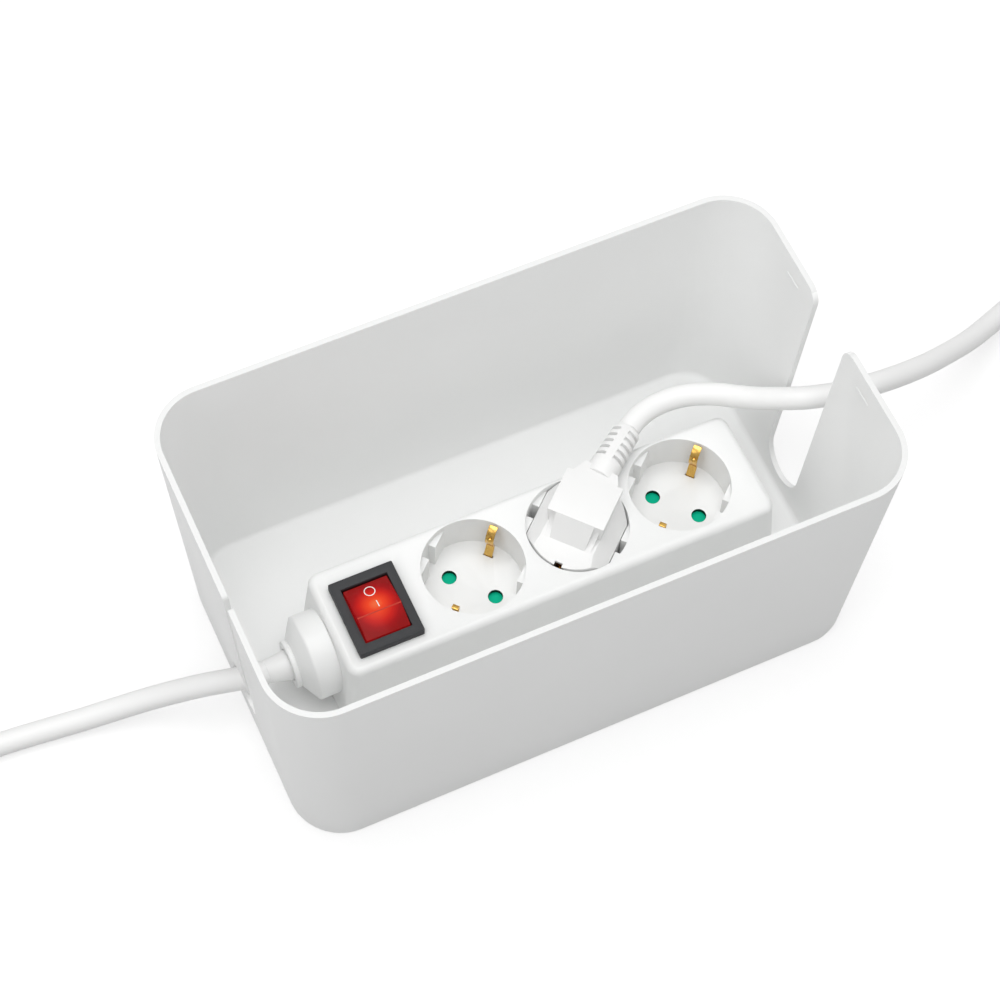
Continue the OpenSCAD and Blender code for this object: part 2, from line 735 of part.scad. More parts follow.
module plug_base()
  intersection() {
    translate([0, 0, plug_z])
      cylinder(r = plug_r, h = plug_base_h, $fn = 96);
    rotate([90, 0, 90])
      linear_extrude(height = 4 * plug_r, center = true)
        polygon([[-plug_flat, plug_z], [plug_flat, plug_z], [plug_flat, plug_top - flank_drop],
                 [grip_foot, plug_top], [-grip_foot, plug_top], [-plug_flat, plug_top - flank_drop]]);
    across(2 * plug_r, [[-plug_r - cut, plug_z - cut], [plug_r + cut, plug_z - cut],
                        [plug_r + cut, plug_top + cut], [nose - 4.5, plug_top + cut],
                        [nose, plug_top], [-plug_r - cut, plug_top - 2.1]]);
  }

module plug_body() color(white)
  at_plug() {
    difference() {
      plug_base();
      for (s = [-1, 1]) {
        translate([s * (groove_in + 2.2), 0, groove_top - plug_base_h])
          cube([6, clip_wid + 1.4, 2 * plug_base_h], center = true);
        translate([0, s * pin_off, plug_z - cut])
          cylinder(r = pin_r, h = 6 + cut, $fn = 48);
      }
      translate([-plug_r - cut, -1.5, groove_top - cut])
        cube([1.5 + cut, 3, 5]);
    }
    hull() {
      translate([grip_front, -grip_foot, plug_top - 1])
        cube([18.7, 2 * grip_foot, 1]);
      translate([grip_front, -grip_half, grip_top - eps])
        cube([19.1, 2 * grip_half, eps]);
    }
    translate([0, 0, plug_top - 1])
      linear_extrude(height = grip_top - plug_top + 1)
        polygon([[10, -9.1], [16.3, -8.8], beside_relief(-6.7), beside_relief(6.7), [16.3, 8.8], [10, 9.1]]);
    across(9.8, [[nose, plug_top], [nose + 0.4, plug_top - 1], [0, plug_top - 1], [0, grip_top],
                 [grip_front, grip_top], [grip_front - 0.6, grip_top - 3.6],
                 [grip_front - 2.9, plug_top + 1.5]]);
    across(7.3, [[nose + 0.2, plug_top + 0.2], [nose + 0.2, plug_top - 1], [0, plug_top - 1],
                 [0, grip_top - 0.2], [grip_front, grip_top - 0.2]]);
  }

module plug_pins() color(steel)
  at_plug()
    for (s = [-1, 1])
      translate([0, s * pin_off, 0]) {
        translate([0, 0, plug_z - pin_len + 1])
          cylinder(r = pin_r, h = pin_len + 4.9, $fn = 48);
        translate([0, 0, plug_z - pin_len])
          cylinder(r1 = pin_r - 0.8, r2 = pin_r, h = 1, $fn = 48);
      }

module plug_earth() color(brass)
  at_plug()
    for (s = [-1, 1])
      translate([s * (groove_in - 0.4), 0, plug_z + 7.5])
        cube([0.8, clip_wid, 13], center = true);

// Relief: rings round the cord, joined along the top and the bottom
module plug_relief() color(soft_white)
  at_plug()
    translate([relief_root, 0, relief_z])
      rotate([0, 0, relief_turn])
        rotate([0, 90, 0])
          difference() {
            translate([0, 0, relief_from])
              cylinder(r1 = 6, r2 = 5.4, h = relief_to - relief_from, $fn = 64);
            for (i = [0:4])
              translate([0, 0, 11.5 + 3.06 * i])
                difference() {
                  translate([-8, -8, 0])
                    cube([16, 16, 1.4]);
                  translate([0, 0, -cut])
                    cylinder(r = cord_r + 0.1, h = 1.4 + 2 * cut, $fn = 48);
                  translate([-9, -1.6, -cut])
                    cube([18, 3.2, 1.4 + 2 * cut]);
                }
          }

module device_cord() color(white) tube(device_pts, cord_r, 10);
module device_coil() color(white) coil(device_mid);
module device_tie() color(dark_grey) tie(device_mid, device_tie_turn);

// Line connector on the end of the device cord
tail_x = device_mid[0] - lay_x;
tail_y = device_mid[1] - lay_r;
tail_z = 8.5;
tail_relief = 20;
tail_body = 30;
contact_in = 2;
contact_len = 12;
contact_wid = 2.4;
contact_high = 4.6;
contact_gap = 0.2;
module connector_relief() color(white)
  tube([[tail_x + 1, tail_y, cord_r], [tail_x - 7, tail_y, cord_r + 0.6],
        [tail_x - 14, tail_y, cord_r + 2.9], [tail_x - tail_relief, tail_y, tail_z - 1.5]],
       cord_r + eps, 10);
// Places of the three contacts, the middle one higher
module at_contacts() {
  for (s = [-1, 0, 1])
    translate([contact_in, s * 7, tail_z - 0.5 + (s == 0 ? 2 : -2)])
      children();
}
module connector_body() color(white)
  translate([tail_x - tail_relief - tail_body, tail_y, 0])
    difference() {
      union() {
        translate([0, -12, 0])
          cube([tail_body - 8, 24, 2 * tail_z]);
        translate([tail_body - 8, -8, 1.5])
          cube([8, 16, 2 * tail_z - 3]);
      }
      at_contacts()
        translate([-contact_in - cut, -contact_wid / 2 - contact_gap, -contact_high / 2 - contact_gap])
          cube([contact_in + contact_len + contact_gap + cut, contact_wid + 2 * contact_gap,
                contact_high + 2 * contact_gap]);
    }
module connector_contacts() color(brass)
  translate([tail_x - tail_relief - tail_body, tail_y, 0])
    at_contacts()
      difference() {
        translate([0, -contact_wid / 2, -contact_high / 2])
          cube([contact_len, contact_wid, contact_high]);
        translate([-cut, -contact_wid / 4, -contact_high])
          cube([contact_len - 2 + cut, contact_wid / 2, 2 * contact_high]);
      }

box_tub();
strip_housing();
strip_base();
base_screws();
shutter_1();
shutter_2();
shutter_3();
earth_clip_1();
earth_clip_2();
earth_clip_3();
earth_bar();
live_bar();
neutral_bar();
switch_bezel();
switch_rocker();
switch_terminals();
switch_lamp();
gland_collar();
gland_ring();
cord_sleeve();
cord_clamp();
clamp_screws();
wire_live();
wire_neutral();
wire_earth();
supply_cord();
supply_coil();
supply_tie();
supply_plug_relief();
supply_plug_body();
supply_plug_pins();
supply_plug_earth();
plug_body();
plug_pins();
plug_earth();
plug_relief();
device_cord();
device_coil();
device_tie();
connector_relief();
connector_body();
connector_contacts();
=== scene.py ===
import logging
import math
from dataclasses import dataclass
from enum import Enum
from typing import Callable, ClassVar, Sequence

import bmesh
import bpy
from mathutils import Matrix, Vector


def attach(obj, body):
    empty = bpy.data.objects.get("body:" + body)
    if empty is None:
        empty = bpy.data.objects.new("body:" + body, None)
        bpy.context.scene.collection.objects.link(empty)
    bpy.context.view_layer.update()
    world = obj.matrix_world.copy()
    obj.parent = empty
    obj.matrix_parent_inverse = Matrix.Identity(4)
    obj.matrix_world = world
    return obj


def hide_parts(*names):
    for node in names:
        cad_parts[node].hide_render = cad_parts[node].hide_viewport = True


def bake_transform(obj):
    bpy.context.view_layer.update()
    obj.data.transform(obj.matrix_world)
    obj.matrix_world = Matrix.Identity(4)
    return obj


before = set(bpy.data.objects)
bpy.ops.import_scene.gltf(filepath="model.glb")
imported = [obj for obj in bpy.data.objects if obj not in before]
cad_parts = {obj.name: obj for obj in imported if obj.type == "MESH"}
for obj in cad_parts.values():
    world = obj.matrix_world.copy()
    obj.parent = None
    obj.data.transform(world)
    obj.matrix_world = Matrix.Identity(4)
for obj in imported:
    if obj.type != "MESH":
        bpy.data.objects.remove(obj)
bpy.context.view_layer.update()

MM = 0.001
LOG = logging.getLogger("cable_box")
Pair = tuple[float, float]
Point = tuple[float, float, float]
Test = Callable[[Vector, Vector], bool]
Outline = Sequence[Pair]
Wire = tuple[bpy.types.Node, str | int, bpy.types.Node, str | int]
SIDES = (-1, 1)


def at(x: float, y: float, z: float) -> Vector:
    """Return a point given in millimetres as a vector in metres.

    Args:
        x: Place along the tub.
        y: Place across the tub.
        z: Height.

    Returns:
        The vector in metres.
    """
    return Vector((x, y, z)) * MM


def flow(points: Sequence[Vector], steps: int, until: int | None = None) -> list[Vector]:
    """Fill in a smooth line through points.

    Args:
        points: The points to pass through.
        steps: Pieces between one point and the next.
        until: The first point after which nothing is filled in, if there is one.

    Returns:
        The filled line, with the given points on it.
    """
    out: list[Vector] = []
    last = len(points) - 1
    for i in range(last):
        p0, p1, p2, p3 = points[max(i - 1, 0)], points[i], points[i + 1], points[min(i + 2, last)]
        pieces = steps if until is None or i < until else 1
        for j in range(pieces):
            t = j / pieces
            out.append(0.5 * (2 * p1 + (p2 - p0) * t + (2 * p0 - 5 * p1 + 4 * p2 - p3) * t * t
                              + (3 * p1 - p0 - 3 * p2 + p3) * t ** 3))
    out.append(points[-1])
    return out


def move(place: Point, turn: float = 0.0, way: str = "Z") -> Matrix:
    """Return the matrix that turns a piece and then moves it.

    Args:
        place: Where the piece's own origin goes, in millimetres.
        turn: The turn in degrees.
        way: The axis that it turns about.

    Returns:
        The matrix, in metres.
    """
    return Matrix.Translation(at(*place)) @ Matrix.Rotation(math.radians(turn), 4, way)


def upright(middle: Vector, way: Vector) -> bool:
    """Test for an edge that stands upright.

    Args:
        middle: The edge's middle in millimetres. Not used.
        way: The way it runs.

    Returns:
        Whether it does.
    """
    return abs(way.z) > 0.9


def level(z: float, near: float = 0.1) -> Test:
    """Make the test for edges that lie flat at a height.

    Args:
        z: The height in millimetres.
        near: How far off it an edge may be.

    Returns:
        The test.
    """
    return lambda middle, way: abs(middle.z - z) < near and abs(way.z) < 0.1


class Kind(Enum):
    """What an edit-mode selection picks."""

    VERT = "VERT"
    EDGE = "EDGE"
    FACE = "FACE"


class Axis(Enum):
    """The way a drum's length runs, as the turn from Z in degrees and the axis it is about."""

    X = (90.0, "Y")
    Y = (-90.0, "X")
    Z = (0.0, "Z")


class Bench:
    """Small set of modelling moves, all in millimetres."""

    @staticmethod
    def clear() -> None:
        """Leave edit mode and deselect everything."""
        if bpy.context.object and bpy.context.object.mode != "OBJECT":
            bpy.ops.object.mode_set(mode="OBJECT")
        bpy.ops.object.select_all(action="DESELECT")

    @staticmethod
    def take(obj: bpy.types.Object) -> None:
        """Make one object selected and active.

        Args:
            obj: The object to work on.
        """
        Bench.clear()
        obj.select_set(True)
        bpy.context.view_layer.objects.active = obj

    @staticmethod
    def block(name: str, low: Point, high: Point) -> bpy.types.Object:
        """Start a block between two opposite corners.

        Args:
            name: Name of the new object.
            low: One corner in millimetres.
            high: The opposite corner.

        Returns:
            The new object, settled.
        """
        Bench.clear()
        a, b = at(*low), at(*high)
        bpy.ops.mesh.primitive_cube_add(size=1, location=(a + b) / 2, scale=[abs(v) for v in b - a])
        obj = bpy.context.object
        obj.name = obj.data.name = name
        bpy.ops.object.transform_apply(location=True, rotation=True, scale=True)
        return obj

    @staticmethod
    def slab(name: str, mid: Pair, half: Pair, low: float, high: float) -> bpy.types.Object:
        """Start a block about a middle.

        Args:
            name: Name of the new object.
            mid: Its middle seen from above, in millimetres.
            half: Half its size along X and Y.
            low: Height of its underside.
            high: Height of its top.

        Returns:
            The new object, settled.
        """
        (x, y), (hx, hy) = mid, half
        return Bench.block(name, (x - hx, y - hy, low), (x + hx, y + hy, high))

    @staticmethod
    def drum(name: str, base: Point, r: float, length: float, axis: Axis = Axis.Z,
             top_r: float | None = None, sides: int = 96) -> bpy.types.Object:
        """Start a drum or a cone from the middle of its base.

        Args:
            name: Name of the new object.
            base: Middle of the base in millimetres.
            r: Radius at the base.
            length: Length along the axis.
            axis: The way its length runs.
            top_r: Radius at the far end, if it isn't the same.
            sides: Number of sides.

        Returns:
            The new object, settled.
        """
        Bench.clear()
        bpy.ops.mesh.primitive_cone_add(vertices=sides, radius1=r * MM, depth=length * MM, location=(0, 0, 0),
                                        radius2=(r if top_r is None else top_r) * MM)
        obj = bpy.context.object
        obj.name = obj.data.name = name
        obj.data.transform(move(base, *axis.value) @ Matrix.Translation((0, 0, length * MM / 2)))
        return obj

    @staticmethod
    def prism(name: str, outline: Sequence[Point], length: Point) -> bpy.types.Object:
        """Model a solid from a flat outline pushed along one way.

        Args:
            name: Name of the new object.
            outline: The outline's corners in millimetres, in order.
            length: The push in millimetres.

        Returns:
            The new object.
        """
        Bench.clear()
        bpy.ops.mesh.primitive_circle_add(vertices=len(outline), fill_type="NGON")
        obj = bpy.context.object
        obj.name = obj.data.name = name
        for vert, corner in zip(obj.data.vertices, outline):
            vert.co = at(*corner)
        bpy.ops.object.mode_set(mode="EDIT")
        bpy.ops.mesh.select_all(action="SELECT")
        bpy.ops.mesh.extrude_region_move(TRANSFORM_OT_translate={"value": at(*length)})
        bpy.ops.mesh.select_all(action="SELECT")
        bpy.ops.mesh.normals_make_consistent(inside=False)
        Bench.done()
        return obj

    @staticmethod
    def lathe(name: str, base: Point, profile: Sequence[Pair], axis: Axis = Axis.X,
              sides: int = 64) -> bpy.types.Object:
        """Turn a profile round an axis.

        Args:
            name: Name of the new object.
            base: Where the axis starts in millimetres.
            profile: Place along the axis and radius of each corner, from end to end.
            axis: The way the axis runs.
            sides: Number of sides.

        Returns:
            The new closed object.
        """
        (low, low_r), (high, high_r) = profile[:2]
        obj = Bench.drum(name, (0, 0, low), low_r, high - low, top_r=high_r, sides=sides)
        for (z0, r0), (z1, r1) in zip(profile[1:], profile[2:]):
            Bench.pick(obj, Kind.FACE, lambda c, n: n.z > 0.99 and c.z > z0 - 0.01)
            bpy.ops.mesh.extrude_region_move(TRANSFORM_OT_translate={"value": at(0, 0, z1 - z0)})
            bpy.ops.transform.resize(value=(r1 / r0, r1 / r0, 1), center_override=at(0, 0, z1))
            Bench.done()
        obj.data.transform(move(base, *axis.value))
        return obj

    @staticmethod
    def ribbon(name: str, path: Sequence[Pair], width: float, sheet: float) -> bpy.types.Object:
        """Model a bent strip from its side view.

        Args:
            name: Name of the new object.
            path: Place across (Y) and height of each point of its middle.
            width: Width of the strip, along X.
            sheet: Its thickness.

        Returns:
            The strip.
        """
        Bench.clear()
        bpy.ops.mesh.primitive_plane_add(size=1)
        strip = bpy.context.object
        strip.name = strip.data.name = name
        for vert in strip.data.vertices:
            y, z = path[1] if vert.co.y > 0 else path[0]
            vert.co = at(math.copysign(width / 2, vert.co.x), y, z)
        for (y0, z0), (y1, z1) in zip(path[1:], path[2:]):
            end = Vector((0.0, y0, z0))
            Bench.pick(strip, Kind.EDGE, lambda c, d: (c - end).length < 0.03 and abs(d.x) > 0.9)
            bpy.ops.mesh.extrude_region_move(TRANSFORM_OT_translate={"value": at(0, y1 - y0, z1 - z0)})
            Bench.done()
        Bench.take(strip)
        bpy.ops.object.mode_set(mode="EDIT")
        bpy.ops.mesh.select_all(action="SELECT")
        bpy.ops.mesh.normals_make_consistent(inside=False)
        Bench.done()
        thick = strip.modifiers.new("sheet", "SOLIDIFY")
        thick.thickness = sheet * MM
        thick.offset = 0.0
        bpy.ops.object.modifier_apply(modifier=thick.name)
        return strip

    @staticmethod
    def tube(name: str, line: Sequence[Vector], r: float, detail: int, angle: float,
             swell: Callable[[float], float] = lambda t: 1.0) -> bpy.types.Object:
        """Model a round tube along a line.

        Args:
            name: Name of the new object.
            line: The tube's middle in metres.
            r: Its radius in millimetres.
            detail: How finely the tube is rounded.
            angle: Edges sharper than this many degrees are shaded sharp.
            swell: Takes the share of the line and gives a factor for the radius.

        Returns:
            The closed tube.
        """
        curve = bpy.data.curves.new(name, "CURVE")
        curve.dimensions = "3D"
        curve.bevel_depth = r * MM
        curve.bevel_resolution = detail
        curve.use_fill_caps = True
        spline = curve.splines.new("POLY")
        last = len(line) - 1
        spline.points.add(last)
        for i, (point, co) in enumerate(zip(spline.points, line)):
            point.co = (*co, 1.0)
            point.radius = swell(i / last)
        obj = bpy.data.objects.new(name, curve)
        bpy.context.collection.objects.link(obj)
        Bench.take(obj)
        bpy.ops.object.convert(target="MESH")
        obj = bpy.context.object
        obj.name = obj.data.name = name
        bpy.ops.object.shade_smooth_by_angle(angle=math.radians(angle))
        return obj

    @staticmethod
    def reshape(obj: bpy.types.Object, rule: Callable[[Vector], Vector]) -> None:
        """Move every vert by a rule given in millimetres.

        Args:
            obj: The object to reshape.
            rule: Takes a vert's place and gives its new one.
        """
        for vert in obj.data.vertices:
            vert.co = rule(vert.co * 1000) * MM

    @staticmethod
    def pick(obj: bpy.types.Object, kind: Kind, test: Test) -> int:
        """Enter edit mode with only the wanted elements selected.

        Args:
            obj: The object to edit.
            kind: Verts, edges or faces.
            test: Takes an element's middle in millimetres and its direction
                (a face's normal, an edge's way, a vert's normal).

        Returns:
            How many were picked.
        """
        Bench.take(obj)
        bpy.ops.object.mode_set(mode="EDIT")
        bpy.ops.mesh.select_mode(type=kind.value)
        bpy.ops.mesh.select_all(action="DESELECT")
        mesh = bmesh.from_edit_mesh(obj.data)
        if kind is Kind.FACE:
            rows = [(face, face.calc_center_median() * 1000, face.normal) for face in mesh.faces]
        elif kind is Kind.EDGE:
            ends = [(edge, *(vert.co for vert in edge.verts)) for edge in mesh.edges]
            rows = [(edge, (a + b) * 500, (b - a).normalized()) for edge, a, b in ends]
        else:
            rows = [(vert, vert.co * 1000, vert.normal) for vert in mesh.verts]
        picked = [item for item, middle, way in rows if test(middle, way)]
        for item in picked:
            item.select_set(True)
        mesh.select_flush_mode()
        bmesh.update_edit_mesh(obj.data)
        return len(picked)

    @staticmethod
    def done() -> None:
        """Leave edit mode."""
        bpy.ops.object.mode_set(mode="OBJECT")

    @staticmethod
    def round_edges(obj: bpy.types.Object, test: Test, width: float, steps: int) -> None:
        """Round the picked edges.

        Args:
            obj: The object to edit.
            test: Picks the edges.
            width: Width of the rounding.
            steps: Number of strips in it.
        """
        if Bench.pick(obj, Kind.EDGE, test):
            bpy.ops.mesh.bevel(offset=width * MM, segments=steps, affect="EDGES", clamp_overlap=True)
        Bench.done()

    @staticmethod
    def spread(obj: bpy.types.Object, test: Test, factor: Point, centre: Point) -> None:
        """Scale the picked verts about a point.

        Args:
            obj: The object to edit.
            test: Picks the verts.
            factor: Scale along X, Y and Z.
            centre: The point that stays.
        """
        Bench.pick(obj, Kind.VERT, test)
        bpy.ops.transform.resize(value=factor, center_override=at(*centre))
        Bench.done()

    @staticmethod
    def shift(obj: bpy.types.Object, test: Test, by: Point) -> None:
        """Move the picked verts.

        Args:
            obj: The object to edit.
            test: Picks the verts.
            by: The move in millimetres.
        """
        Bench.pick(obj, Kind.VERT, test)
        bpy.ops.transform.translate(value=at(*by))
        Bench.done()

    @staticmethod
    def carve(obj: bpy.types.Object, tools: Sequence[bpy.types.Object], way: str = "DIFFERENCE") -> None:
        """Cut tools out of an object, or melt them into it.

        Args:
            obj: The object to work on.
            tools: The tools, which are used up.
            way: DIFFERENCE, UNION or INTERSECT.
        """
        for tool in tools:
            mod = obj.modifiers.new("carve", "BOOLEAN")
            mod.operation = way
            mod.solver = "EXACT"
            mod.object = tool
            Bench.take(obj)
            bpy.ops.object.modifier_apply(modifier=mod.name)
            bpy.data.objects.remove(tool, do_unlink=True)

    @staticmethod
    def join(obj: bpy.types.Object, others: Sequence[bpy.types.Object]) -> None:
        """Join others into one object without melting them.

        Args:
            obj: The object that stays.
            others: The objects that join it.
        """
        Bench.take(obj)
        for other in others:
            other.select_set(True)
        if others:
            bpy.ops.object.join()

    @staticmethod
    def copy(obj: bpy.types.Object, name: str, place: Matrix) -> bpy.types.Object:
        """Copy an object with its own mesh and place it.

        Args:
            obj: The object to copy.
            name: Name of the copy.
            place: Where it goes, in metres.

        Returns:
            The copy.
        """
        new = obj.copy()
        new.data = obj.data.copy()
        new.name = new.data.name = name
        bpy.context.collection.objects.link(new)
        new.data.transform(place)
        return new

    @staticmethod
    def soften(obj: bpy.types.Object, width: float, steps: int = 2, angle: float = 40.0) -> None:
        """Round all sharp edges a little and shade the rest smooth.

        Args:
            obj: The object to finish.
            width: Width of the rounding.
            steps: Number of strips in it.
            angle: Edges sharper than this many degrees are rounded.
        """
        Bench.take(obj)
        bpy.ops.object.mode_set(mode="EDIT")
        bpy.ops.mesh.select_all(action="SELECT")
        bpy.ops.mesh.remove_doubles(threshold=0.00001)
        Bench.done()
        mod = obj.modifiers.new("soften", "BEVEL")
        mod.width = width * MM
        mod.segments = steps
        mod.limit_method = "ANGLE"
        mod.angle_limit = math.radians(angle)
        mod.use_clamp_overlap = True
        bpy.ops.object.modifier_apply(modifier=mod.name)
        bpy.ops.object.shade_smooth_by_angle(angle=math.radians(38))


class Effects:
    """The moves that build shader nodes, and the shared node group."""

    MIX_LOW: ClassVar[int] = 6
    MIX_HIGH: ClassVar[int] = 7
    MIX_OUT: ClassVar[int] = 2

    @staticmethod
    def fill(node: bpy.types.Node, **values: object) -> None:
        """Set a node's inputs by name.

        Args:
            node: The node.
            values: Socket values, with spaces written as underscores.
        """
        for key, value in values.items():
            node.inputs[key.replace("_", " ")].default_value = value

    @staticmethod
    def node(tree: bpy.types.NodeTree, kind: str, operation: str = "", **values: object) -> bpy.types.Node:
        """Add a node and set its inputs by name.

        Args:
            tree: The tree to add to.
            kind: The node's type.
            operation: What it works out, for a node that can do several things.
            values: Socket values, with spaces written as underscores.

        Returns:
            The new node.
        """
        node = tree.nodes.new(f"ShaderNode{kind}")
        if operation:
            node.operation = operation
        Effects.fill(node, **values)
        return node

    @staticmethod
    def mix(tree: bpy.types.NodeTree, low: Point, high: Point) -> bpy.types.Node:
        """Add a mix of two colours.

        Args:
            tree: The tree to add to.
            low: The colour at factor 0.
            high: The colour at factor 1.

        Returns:
            The new node.
        """
        node = Effects.node(tree, "Mix")
        node.data_type = "RGBA"
        node.inputs[Effects.MIX_LOW].default_value = (*low, 1.0)
        node.inputs[Effects.MIX_HIGH].default_value = (*high, 1.0)
        return node

    @staticmethod
    def seen(tree: bpy.types.NodeTree) -> bpy.types.Node:
        """Add the test for rays that come from the camera or from a gloss.

        Args:
            tree: The tree to add to.

        Returns:
            The node, whose first output is 1 for such a ray.
        """
        rays, most = Effects.node(tree, "LightPath"), Effects.node(tree, "Math", "MAXIMUM")
        Effects.wire(tree, (rays, "Is Camera Ray", most, 0), (rays, "Is Glossy Ray", most, 1))
        return most

    @staticmethod
    def wire(tree: bpy.types.NodeTree, *rows: Wire) -> None:
        """Join nodes' sockets.

        Args:
            tree: The tree that the nodes are in.
            rows: A node, its output, the node it goes to and that node's input.
        """
        for start, out, end, into in rows:
            tree.links.new(start.outputs[out], end.inputs[into])

    @staticmethod
    def moulded() -> None:
        """Build the moulded surface: faint mottling and fine grain."""
        tree = bpy.data.node_groups.new("moulded_surface", "ShaderNodeTree")
        colour, number = "NodeSocketColor", "NodeSocketFloat"
        for label, kind, default in (
                ("Colour", colour, (0.8, 0.8, 0.8, 1.0)), ("Mottle", number, 0.03),
                ("Grain Scale", number, 1500.0), ("Grain Height", number, 0.1),
                ("Gloss Low", number, 0.4), ("Gloss High", number, 0.5)):
            tree.interface.new_socket(name=label, in_out="INPUT", socket_type=kind).default_value = default
        for label, kind in (("Colour", colour), ("Roughness", number), ("Normal", "NodeSocketVector")):
            tree.interface.new_socket(name=label, in_out="OUTPUT", socket_type=kind)
        inn, out = tree.nodes.new("NodeGroupInput"), tree.nodes.new("NodeGroupOutput")
        place = Effects.node(tree, "TexCoord")
        slow = Effects.node(tree, "TexNoise", Scale=14.0, Detail=3.0)
        fine = Effects.node(tree, "TexNoise", Detail=2.0)
        spread = Effects.node(tree, "MapRange", From_Min=0.3, From_Max=0.7, To_Min=0.0, To_Max=1.0)
        dark = Effects.node(tree, "Math", "MULTIPLY")
        share = Effects.node(tree, "Math", "SUBTRACT")
        share.inputs[0].default_value = 1.0
        tint = Effects.node(tree, "HueSaturation")
        gloss = Effects.node(tree, "Mix")
        bump = Effects.node(tree, "Bump", Distance=0.0001)
        Effects.wire(
            tree, (place, "Object", slow, "Vector"), (place, "Object", fine, "Vector"),
            (inn, "Grain Scale", fine, "Scale"), (slow, "Fac", spread, "Value"), (spread, "Result", dark, 0),
            (inn, "Mottle", dark, 1), (dark, 0, share, 1), (share, 0, tint, "Value"),
            (inn, "Colour", tint, "Color"), (tint, "Color", out, "Colour"), (fine, "Fac", gloss, "Factor"),
            (inn, "Gloss Low", gloss, "A"), (inn, "Gloss High", gloss, "B"),
            (gloss, "Result", out, "Roughness"), (fine, "Fac", bump, "Height"),
            (inn, "Grain Height", bump, "Strength"), (bump, "Normal", out, "Normal"))


@dataclass(frozen=True)
class Finish:
    """A named material."""

    name: str

    def start(self) -> tuple[bpy.types.Material, bpy.types.NodeTree, bpy.types.Node]:
        """Start the material.

        Returns:
            The material, its tree and its main node.
        """
        mat = bpy.data.materials.new(self.name)
        mat.use_nodes = True
        return mat, mat.node_tree, mat.node_tree.nodes["Principled BSDF"]


@dataclass(frozen=True)
class Moulding(Finish):
    """A moulded plastic or rubber finish."""

    colour: Point
    gloss: Pair = (0.42, 0.5)
    mottle: float = 0.025
    grain_scale: float = 1600.0
    grain_height: float = 0.12
    shine: float = 0.4

    def build(self) -> bpy.types.Material:
        """Make the material.

        Returns:
            The new material.
        """
        mat, tree, skin = self.start()
        Effects.fill(skin, Specular_IOR_Level=self.shine)
        use = Effects.node(tree, "Group")
        use.node_tree = bpy.data.node_groups["moulded_surface"]
        Effects.fill(use, Colour=(*self.colour, 1.0), Mottle=self.mottle, Grain_Scale=self.grain_scale,
                     Grain_Height=self.grain_height, Gloss_Low=self.gloss[0], Gloss_High=self.gloss[1])
        Effects.wire(tree, (use, "Colour", skin, "Base Color"), (use, "Roughness", skin, "Roughness"),
                     (use, "Normal", skin, "Normal"))
        return mat


@dataclass(frozen=True)
class SheetMetal(Finish):
    """A rolled or plated metal finish with fine lines along one way."""

    colour: Point
    deep: Point
    rough: Pair = (0.2, 0.34)

    def build(self) -> bpy.types.Material:
        """Make the material.

        Returns:
            The new material.
        """
        mat, tree, skin = self.start()
        Effects.fill(skin, Metallic=1.0)
        place = Effects.node(tree, "TexCoord")
        turn = Effects.node(tree, "Mapping", Scale=(300.0, 300.0, 40.0))
        lines = Effects.node(tree, "TexNoise", Scale=6.0, Detail=4.0)
        tone = Effects.mix(tree, self.deep, self.colour)
        wear = Effects.node(tree, "MapRange", To_Min=self.rough[0], To_Max=self.rough[1])
        bump = Effects.node(tree, "Bump", Strength=0.15, Distance=0.00005)
        Effects.wire(
            tree, (place, "Object", turn, "Vector"), (turn, "Vector", lines, "Vector"),
            (lines, "Fac", tone, "Factor"), (tone, Effects.MIX_OUT, skin, "Base Color"),
            (lines, "Fac", wear, "Value"), (wear, "Result", skin, "Roughness"),
            (lines, "Fac", bump, "Height"), (bump, "Normal", skin, "Normal"))
        return mat


@dataclass(frozen=True)
class LitRocker(Finish):
    """Clear red plastic lit from inside, hottest over the lamp."""

    name: str = "lit_red"
    centre: Point = (-60.9, -3.4, 44.4)
    reach: float = 10.5

    def build(self) -> bpy.types.Material:
        """Make the material.

        Returns:
            The new material.
        """
        mat, tree, skin = self.start()
        place = Effects.node(tree, "TexCoord")
        near = Effects.node(tree, "Mapping", Location=tuple(-c / self.reach for c in self.centre),
                            Scale=(1000.0 / self.reach,) * 3)
        far = Effects.node(tree, "VectorMath", "LENGTH")
        glow = Effects.node(tree, "ValToRGB")
        stops = glow.color_ramp.elements
        stops[0].position, stops[0].color = 0.05, (1.0, 0.27, 0.09, 1.0)
        stops[1].position, stops[1].color = 1.0, (0.2, 0.004, 0.004, 1.0)
        for pos, colour in ((0.3, (0.95, 0.08, 0.02, 1.0)), (0.6, (0.62, 0.016, 0.01, 1.0)),
                            (0.82, (0.3, 0.004, 0.006, 1.0))):
            stops.new(pos).color = colour
        swirl = Effects.node(tree, "TexNoise", Scale=260.0, Detail=2.0)
        red = Effects.mix(tree, (0.1, 0.0, 0.002), (0.16, 0.004, 0.003))
        gloss = Effects.node(tree, "MapRange", To_Min=0.12, To_Max=0.24)
        Effects.fill(skin, Specular_IOR_Level=0.12, Emission_Strength=0.75)
        Effects.wire(
            tree, (place, "Object", near, "Vector"), (near, "Vector", far, 0), (far, "Value", glow, "Fac"),
            (glow, "Color", skin, "Emission Color"), (place, "Object", swirl, "Vector"),
            (swirl, "Fac", red, "Factor"), (red, Effects.MIX_OUT, skin, "Base Color"),
            (swirl, "Fac", gloss, "Value"), (gloss, "Result", skin, "Roughness"))
        return mat


